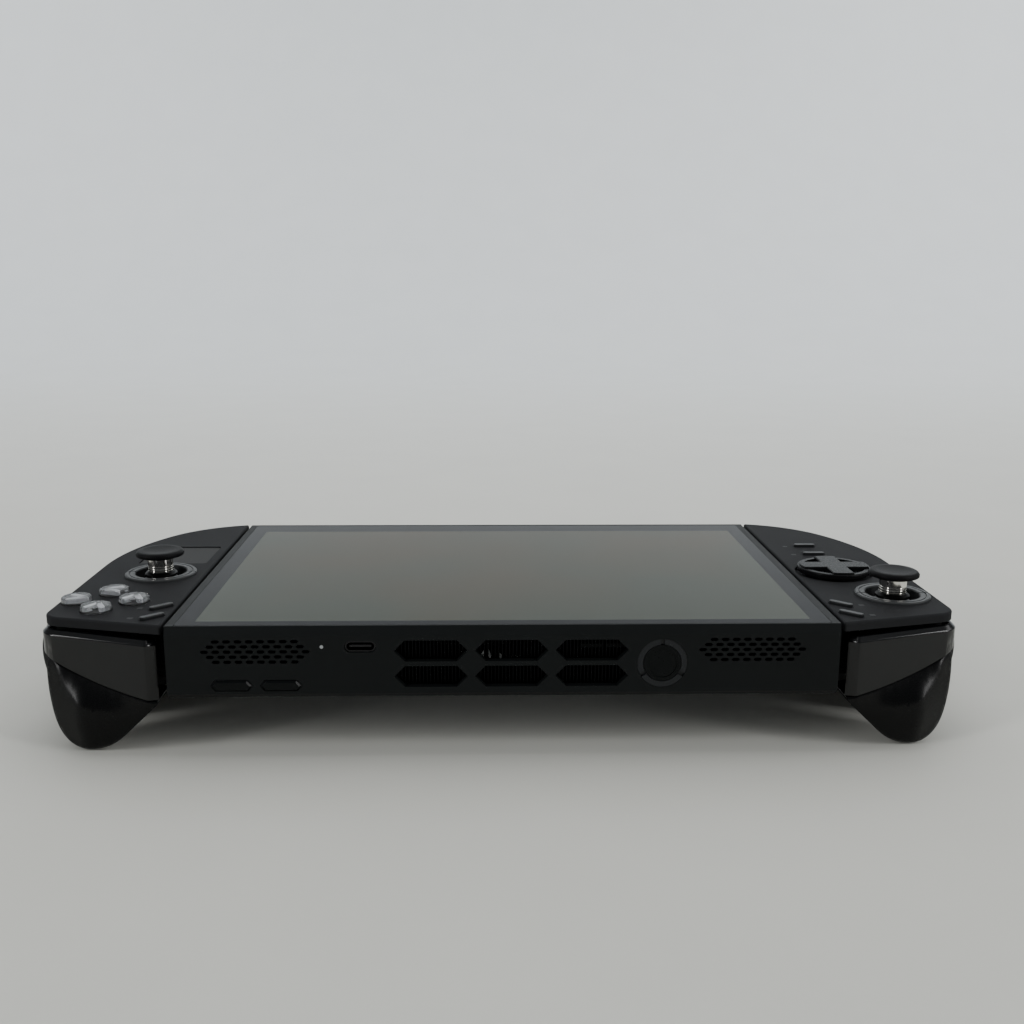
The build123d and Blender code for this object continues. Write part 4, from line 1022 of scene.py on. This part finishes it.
def pattern_of_points(name: str, points: Iterable[Vector]) -> bpy.types.Object:
    """Makes a hidden helper whose vertices are points.

    Args:
        name: The helper's name.
        points: Points of the frame, in metres.

    Returns:
        The helper.
    """
    data = bpy.data.meshes.new(name)
    data.from_pydata([tuple(point) for point in points], [], [])
    return bpy.data.objects.new(name, data)


@dataclass(frozen=True)
class StarScrew:
    """Small domed screw head with a star socket; its profile is in shares of its radius and height."""

    radius: float
    height: float
    segments: int = 24
    lobes: int = 6
    lobe_share: float = 0.12
    rim_shares: tuple[tuple[float, float], ...] = ((1.0, 0.0), (1.0, 0.4), (0.86, 1.0))
    socket_shares: tuple[tuple[float, float], ...] = ((0.5, 1.0), (0.46, 0.2))

    def pattern(self) -> bpy.types.Object:
        """Makes one head as a hidden helper, pointing along +Z, in metres."""
        mesh = bmesh.new()
        rings = [self._ring(mesh, shares, 0.0) for shares in self.rim_shares]
        rings += [self._ring(mesh, shares, self.lobe_share) for shares in self.socket_shares]
        for low, high in zip(rings, rings[1:]):
            join_rings(mesh, low, high)
        mesh.faces.new(reversed(rings[0]))
        mesh.faces.new(rings[-1])
        return bpy.data.objects.new("screw pattern", mesh_data(mesh, "screw pattern"))

    def _ring(
        self, mesh: bmesh.types.BMesh, shares: tuple[float, float], lobe: float
    ) -> list[bmesh.types.BMVert]:
        """Adds one ring of the profile.

        Args:
            mesh: The mesh that gets the corners.
            shares: Shares of the radius and the height.
            lobe: Share by which the ring swells at each lobe.

        Returns:
            The ring's corners.
        """
        ring = []
        for step in range(self.segments):
            angle = 2 * math.pi * step / self.segments
            reach = self.radius * shares[0] * (1 + lobe * math.cos(self.lobes * angle))
            corner = Vector((math.cos(angle) * reach, math.sin(angle) * reach, self.height * shares[1]))
            ring.append(mesh.verts.new(corner * MM))
        return ring

    def repeat(self, name: str, body: str, points: Sequence[Vector]) -> None:
        """Sets a screw that faces down at each point.

        Args:
            name: The piece's name.
            body: The body that it rides on.
            points: Points of the frame, in metres.
        """
        repeat = Repeat(name, Paint.SCREW)
        spots = pattern_of_points(name + " points", points)
        head = self.pattern()
        repeat.number("Points", spots)
        repeat.number("Head", head)
        cloud = repeat.node("GeometryNodeObjectInfo", {0: "@Points"}).outputs["Geometry"]
        shape = repeat.node("GeometryNodeObjectInfo", {0: "@Head"}).outputs["Geometry"]
        spread = repeat.node(
            "GeometryNodeInstanceOnPoints",
            {"Points": cloud, "Instance": shape, "Rotation": (math.pi, 0.0, 0.0)},
        )
        repeat.finish(spread.outputs[0], body)
        for helper in (spots, head):
            bpy.data.objects.remove(helper)


# Sub-assemblies


@dataclass
class Tablet:
    """Housing, screen, vented edge and rear cover."""

    body: str = "tablet"
    screw_x: tuple[float, ...] = (-92.0, -31.0, 31.0, 92.0)
    screw_distances: tuple[float, ...] = (6.5, 131.0)
    screw: StarScrew = StarScrew(radius=1.7, height=0.25)
    strip_half: float = 62.0
    strip_width: float = 5.0
    strip_height: float = 0.6
    strip_distances: tuple[float, ...] = (76.0, 10.5)

    def build(self) -> None:
        """Dresses the nodes and adds the trim underneath."""
        dress(Paint.HOUSING, "tablet_housing")
        dress(Paint.GLASS, "cover_glass")
        dress(Paint.COVER, "rear_cover")
        dress(Paint.STAND, "kickstand")
        dress(Paint.GLOSS, "display_panel")
        dress(Paint.FOIL, "battery_pack")
        dress(Paint.BOARD, "main_board")
        dress(Paint.FINS, "heat_sink")
        dress(Paint.INNER, "fan_housing", "fan_rotor")
        dress(Paint.MESH, "speakers")
        dress(Paint.PORT, "usb_c_ports")
        dress(Paint.LENS, "status_light")
        dress(Paint.POWER_RING, "power_ring")
        dress(Paint.BUTTON, "power_button", "volume_up_button", "volume_down_button")
        points = [
            place(x, distance, -TABLET_THICKNESS) for distance in self.screw_distances for x in self.screw_x
        ]
        self.screw.repeat("rear_cover_screws", self.body, points)
        self._strips()

    def _strips(self) -> None:
        """Two soft strips on the rear cover."""
        sheet = Sheet()
        for distance in self.strip_distances:
            half = self.strip_width / 2
            outline = rounded_bar(0.0, distance, self.strip_half, half, -TABLET_THICKNESS)
            sheet.prism(outline, -self.strip_height)
        sheet.piece("rear_cover_strips", Paint.RUBBER, self.body)


def rounded_bar(
    x: float,
    distance: float,
    half_length: float,
    half_width: float,
    height: float,
    turn: float = 0.0,
    steps: int = 8,
) -> list[Vector]:
    """Level outline of a bar with round ends.

    Args:
        x: Centre across the console, in millimetres.
        distance: Centre's distance from the vented edge.
        half_length: Half the bar's length.
        half_width: Half the bar's width.
        height: Height over the faces.
        turn: Degrees that the bar is turned from the x axis.
        steps: Number of steps round each end.

    Returns:
        Points in the frame, in metres.
    """
    outline = []
    for end in (1, -1):
        for step in range(steps + 1):
            angle = math.pi * (step / steps - 0.5) + (0 if end == 1 else math.pi)
            along = end * (half_length - half_width) + math.cos(angle) * half_width
            outline.append(Vector((along, math.sin(angle) * half_width)))
    swing = Matrix.Rotation(math.radians(turn), 2)
    turned = [swing @ point for point in outline]
    return [place(x + point.x, distance + point.y, height) for point in turned]


@dataclass
class ThumbStick:
    """Ring, dome, plated sleeve and ribbed cap of one stick."""

    side: Side
    x: float
    distance: float
    cap_radius: float = 8.0
    rib_middle: float = 7.6
    rib_count: int = 72
    rib_sides: int = 6
    rib_width: float = 0.3
    rib_height: float = 0.8
    collar_segments: int = 48
    collar: tuple[tuple[float, float], ...] = (
        (3.1, 0.6), (4.0, 0.25), (5.3, -0.5), (5.6, -0.1), (5.5, 0.5), (4.9, 0.95), (4.6, 1.28), (3.1, 1.28),
    )

    def build(self) -> None:
        """Dresses the nodes and adds the collar and the ribs."""
        word = self.side.word
        dress(Paint.RING, f"{word}_stick_ring")
        dress(Paint.DOME, f"{word}_stick_dome")
        dress(Paint.CHROME, f"{word}_stick_shaft")
        dress(Paint.RUBBER, f"{word}_stick_cap")
        dress(Paint.INNER, f"{word}_stick_base", f"{word}_stick_yoke")
        sheet = Sheet()
        sheet.lathe(self.centre(0.0), self.collar, self.collar_segments)
        sheet.piece(f"{word}_stick_collar", Paint.COLLAR, f"{word}_stick")
        self._ribs()

    def centre(self, height: float) -> Vector:
        """Point on the stick's axis."""
        return place(self.side.value * self.x, self.distance, height)

    def _ribs(self) -> None:
        """Small upright ribs round the cap's rim."""
        repeat = Repeat(f"{self.side.word}_stick_cap_ribs", Paint.RUBBER)
        repeat.number("Count", self.rib_count)
        repeat.number("Radius", self.cap_radius * MM)
        repeat.number("Rib height", self.rib_height * MM)
        circle = repeat.node("GeometryNodeMeshCircle", {"Vertices": "@Count", "Radius": "@Radius"})
        rib = repeat.node(
            "GeometryNodeMeshCylinder",
            {"Vertices": self.rib_sides, "Radius": self.rib_width / 2 * MM, "Depth": "@Rib height"},
        )
        spread = repeat.node(
            "GeometryNodeInstanceOnPoints", {"Points": circle.outputs[0], "Instance": rib.outputs[0]}
        )
        moved = repeat.node(
            "GeometryNodeTransform",
            {"Geometry": spread.outputs[0], "Translation": self.centre(self.rib_middle)},
        )
        repeat.finish(moved.outputs[0], f"{self.side.word}_stick")


class ButtonPlace(Enum):
    """Each face button's direction from the group's middle, and its chevron's direction."""

    FAR = ((0, 1), (-1, 0))
    NEAR = ((0, -1), (0, 1))
    INNER = ((1, 0), (0, 1))
    OUTER = ((-1, 0), (1, 0))


@dataclass
class FaceButtons:
    """Four clear caps, each over a dark insert with a pale chevron of its own turn."""

    x: float = 128.6
    distance: float = 26.6
    spread: float = 9.2
    insert_radius: float = 4.15
    insert_bottom: float = -0.15
    insert_top: float = 0.3
    chevron_top: float = 1.45
    arm_length: float = 6.6
    arm_width: float = 1.7
    arm_turn: float = 58.0
    tip_reach: float = 2.6

    def build(self) -> None:
        """Dresses the caps and adds inserts and chevrons."""
        middle = Vector((-self.x, self.distance))
        for place_in_group in ButtonPlace:
            node = f"face_button_{place_in_group.name.lower()}"
            offset, tip = place_in_group.value
            centre = middle + Vector(offset) * self.spread
            dress(Paint.CLEAR, node)
            sheet = Sheet()
            disc = rounded_bar(
                centre.x, centre.y, self.insert_radius, self.insert_radius, self.insert_bottom
            )
            sheet.prism(disc, self.insert_top - self.insert_bottom)
            sheet.piece(f"{node}_insert", Paint.INSERT, node)
            self._chevron(node, centre, Vector(tip))

    def _chevron(self, node: str, centre: Vector, direction: Vector) -> None:
        """Two raised arms that meet at a tip.

        Args:
            node: The cap's node, which is also its body.
            centre: The button's x and distance, in millimetres.
            direction: Unit vector towards the tip.
        """
        sheet = Sheet()
        reach = self.arm_length / 2 - self.arm_width / 2
        for swing in (-1, 1):
            turn = math.degrees(math.atan2(-direction.y, -direction.x)) + swing * self.arm_turn / 2
            back = Vector((math.cos(math.radians(turn)), math.sin(math.radians(turn))))
            middle = centre + direction * self.tip_reach + back * reach
            arm = rounded_bar(
                middle.x, middle.y, self.arm_length / 2, self.arm_width / 2, self.insert_top, turn
            )
            sheet.prism(arm, self.chevron_top - self.insert_top)
        sheet.piece(f"{node}_chevron", Paint.STROKE, node)


@dataclass
class Controller:
    """One detachable controller: shells, levers, small buttons and printed marks."""

    side: Side
    marks: tuple[tuple[float, float], ...]
    mark_half_length: float = 0.9
    mark_half_width: float = 0.16
    mark_shift: float = 0.45
    mark_rise: float = 0.02
    dot_columns: int = 10
    dot_rows: int = 4
    dot_pitch: float = 3.2
    dot_radius: float = 0.55
    dot_flatness: float = 0.45
    dot_middle_distance: float = 89.6
    dot_middle_drop: float = 32.0
    screw_x: float = 107.0
    screw_distances: tuple[float, ...] = (26.0, 74.0, 122.0)
    screw: StarScrew = StarScrew(radius=1.2, height=0.2)

    def build(self) -> None:
        """Dresses the nodes and adds marks, palm dots and screws."""
        word = self.side.word
        dress(Paint.PLATE, f"{word}_face_plate")
        dress(Paint.GRIP, f"{word}_grip_shell")
        dress(Paint.BUMPER, f"{word}_bumper")
        EasedBumper(self.side).build()
        FlushTrigger(self.side).build()
        dress(Paint.STEEL, f"{word}_slide_rail", f"{word}_trigger_pin")
        dress(Paint.BOARD, f"{word}_control_board")
        dress(Paint.PILL, f"{word}_menu_button_far", f"{word}_menu_button_near")
        dress(Paint.BUTTON, f"{word}_release_button", f"{word}_rear_button")
        self._marks()
        self._dots()
        x = self.side.value * self.screw_x
        points = [place(x, distance, -TABLET_THICKNESS) for distance in self.screw_distances]
        self.screw.repeat(f"{word}_grip_screws", f"{word}_controller", points)

    def _marks(self) -> None:
        """Short printed bars beside the small buttons."""
        sheet = Sheet()
        half_length, half_width = self.mark_half_length, self.mark_half_width
        for x, distance in self.marks:
            for shift in (-self.mark_shift, self.mark_shift):
                bar = rounded_bar(self.side.value * x, distance + shift, half_length, half_width, 0.0)
                sheet.prism(bar, self.mark_rise)
        sheet.piece(f"{self.side.word}_printed_marks", Paint.MARK, f"{self.side.word}_controller")

    def _dots(self) -> None:
        """Raised dots on the inner slope of the handle, where the fingers curl round."""
        run = (SOLE_INNER - HANDLE_INNER) / (FACE_HEIGHT - TABLET_THICKNESS)
        lean = math.atan(run)
        x = HANDLE_INNER + run * (self.dot_middle_drop - TABLET_THICKNESS)
        repeat = Repeat(f"{self.side.word}_palm_dots", Paint.GRIP)
        repeat.number("Columns", self.dot_columns)
        repeat.number("Rows", self.dot_rows)
        grid = repeat.node(
            "GeometryNodeMeshGrid",
            {
                "Size X": (self.dot_columns - 1) * self.dot_pitch * MM,
                "Size Y": (self.dot_rows - 1) * self.dot_pitch * MM,
                "Vertices X": "@Columns",
                "Vertices Y": "@Rows",
            },
        )
        dot = repeat.node("GeometryNodeMeshIcoSphere", {"Radius": self.dot_radius * MM, "Subdivisions": 2})
        flat = repeat.node(
            "GeometryNodeTransform", {"Geometry": dot.outputs[0], "Scale": (1.0, 1.0, self.dot_flatness)}
        )
        spread = repeat.node(
            "GeometryNodeInstanceOnPoints", {"Points": grid.outputs[0], "Instance": flat.outputs[0]}
        )
        side = self.side.value
        outward = Vector((-side * math.cos(lean), 0, -math.sin(lean)))
        along = Vector((0, 1, 0))
        matrix = Matrix((along, outward.cross(along), outward)).transposed()
        moved = repeat.node(
            "GeometryNodeTransform",
            {
                "Geometry": spread.outputs[0],
                "Translation": place(side * x, self.dot_middle_distance, -self.dot_middle_drop),
                "Rotation": matrix.to_euler(),
            },
        )
        repeat.finish(moved.outputs[0], f"{self.side.word}_controller")


@dataclass
class LeftFace:
    """D-pad and quick buttons of the left controller."""

    def build(self) -> None:
        """Dresses the nodes."""
        dress(Paint.GLOSS, "dpad_cap")
        dress(Paint.PILL, "left_quick_button_far", "left_quick_button_near")
        dress(Paint.INNER, "dpad_rocker")


@dataclass
class RightFace:
    """Touchpad of the right controller."""

    def build(self) -> None:
        """Dresses the node."""
        dress(Paint.PAD, "touchpad")


@dataclass(frozen=True)
class SoftLight:
    """Area light of a width and height in metres and a power in watts, which faces a point."""

    name: str
    where: tuple[float, float, float]
    aim: tuple[float, float, float]
    width: float
    height: float
    power: float

    def build(self) -> None:
        """Makes the light."""
        data = bpy.data.lights.new(self.name, "AREA")
        data.shape = "RECTANGLE"
        data.size = self.width
        data.size_y = self.height
        data.energy = self.power
        light = bpy.data.objects.new(self.name, data)
        light.location = self.where
        towards = Vector(self.aim) - Vector(self.where)
        light.rotation_euler = towards.to_track_quat("-Z", "Y").to_euler()
        bpy.context.scene.collection.objects.link(light)


@dataclass
class Studio:
    """Pale sweep, soft lights and the world's fill."""

    half_width: float = 3.0
    near: float = -2.0
    bend: float = 1.1
    bend_radius: float = 0.7
    bend_steps: int = 16
    height: float = 2.4
    fill: float = 0.2
    fill_colour: tuple[float, float, float] = (0.93, 0.97, 1.0)
    middle: tuple[float, float, float] = (0.0, 0.0, 0.0)
    over: tuple[float, float, float] = (0.1, 0.85, 0.0)
    wall_left: tuple[float, float, float] = (-1.1, 1.85, 1.2)
    wall_right: tuple[float, float, float] = (1.1, 1.85, 1.2)

    def build(self) -> None:
        """Makes the sweep, the lights and the world."""
        self._sweep()
        lights = (
            SoftLight("overhead", (0.1, 0.85, 1.8), self.over, width=2.6, height=2.2, power=28.0),
            SoftLight("wall left", (-1.4, 0.8, 1.5), self.wall_left, width=0.8, height=0.8, power=22.0),
            SoftLight("wall right", (1.4, 0.8, 1.5), self.wall_right, width=0.8, height=0.8, power=25.0),
            SoftLight("side", (1.7, -0.1, 1.0), self.middle, width=0.8, height=0.8, power=4.0),
            SoftLight("strip left", (-1.43, -0.84, 0.72), self.middle, width=0.3, height=1.2, power=13.0),
            SoftLight("strip right", (1.47, -0.81, 0.72), self.middle, width=0.3, height=1.2, power=13.0),
        )
        for light in lights:
            light.build()
        world = bpy.data.worlds.new("studio fill")
        world.use_nodes = True
        background = world.node_tree.nodes["Background"]
        background.inputs["Color"].default_value = (*self.fill_colour, 1.0)
        background.inputs["Strength"].default_value = self.fill
        bpy.context.scene.world = world

    def _sweep(self) -> None:
        """Floor that curves up into the backdrop."""
        line = [(self.near, 0.0), (self.bend, 0.0)]
        for step in range(1, self.bend_steps + 1):
            angle = math.pi / 2 * step / self.bend_steps
            line.append((
                self.bend + math.sin(angle) * self.bend_radius,
                self.bend_radius - math.cos(angle) * self.bend_radius,
            ))
        line.append((self.bend + self.bend_radius, self.height))
        points = [(side * self.half_width, y, z) for y, z in line for side in (-1, 1)]
        faces = [(2 * i, 2 * i + 1, 2 * i + 3, 2 * i + 2) for i in range(len(line) - 1)]
        data = bpy.data.meshes.new("studio sweep")
        data.from_pydata(points, [], faces)
        data.materials.append(Paint.PAPER.material())
        data.shade_smooth()
        sweep = bpy.data.objects.new("studio_sweep", data)
        bpy.context.scene.collection.objects.link(sweep)


@dataclass
class PhotoCamera:
    """Camera where the photograph was taken."""

    position: tuple[float, float, float] = (-7.9, -323.2, 106.2)
    pitch: float = 12.37
    yaw: float = 1.72
    roll: float = 0.27
    lens: float = 39.26
    sensor: float = 36.0
    clip: tuple[float, float] = (0.01, 20.0)

    def build(self) -> None:
        """Makes the camera and gives it to the scene."""
        data = bpy.data.cameras.new("photo camera")
        data.lens = self.lens
        data.sensor_width = self.sensor
        data.clip_start, data.clip_end = self.clip
        camera = bpy.data.objects.new("photo camera", data)
        spot = place(*self.position)
        turns = ((self.roll, "Y"), (self.pitch, "X"), (self.yaw, "Z"))
        roll, pitch, yaw = (Matrix.Rotation(math.radians(angle), 3, axis) for angle, axis in turns)
        right, ahead, up = roll @ pitch @ yaw
        basis = Matrix((right, up, -ahead)).transposed()
        camera.matrix_world = Matrix.Translation(spot) @ basis.to_4x4()
        bpy.context.scene.collection.objects.link(camera)
        bpy.context.scene.camera = camera


def main() -> None:
    """Builds every part of the picture and reports it."""
    PhotoCamera().build()
    Studio().build()
    Tablet().build()
    menu_marks = ((115.5, 19.5), (115.5, 9.0))
    quick_marks = ((111.5, 97.0), (111.5, 84.5))
    Controller(Side.RIGHT, menu_marks).build()
    Controller(Side.LEFT, menu_marks + quick_marks).build()
    ThumbStick(Side.RIGHT, x=120.0, distance=60.3).build()
    ThumbStick(Side.LEFT, x=129.6, distance=30.6).build()
    FaceButtons().build()
    LeftFace().build()
    RightFace().build()


if __name__ == "__main__":
    logging.basicConfig(level=logging.INFO, format="%(message)s")
    main()
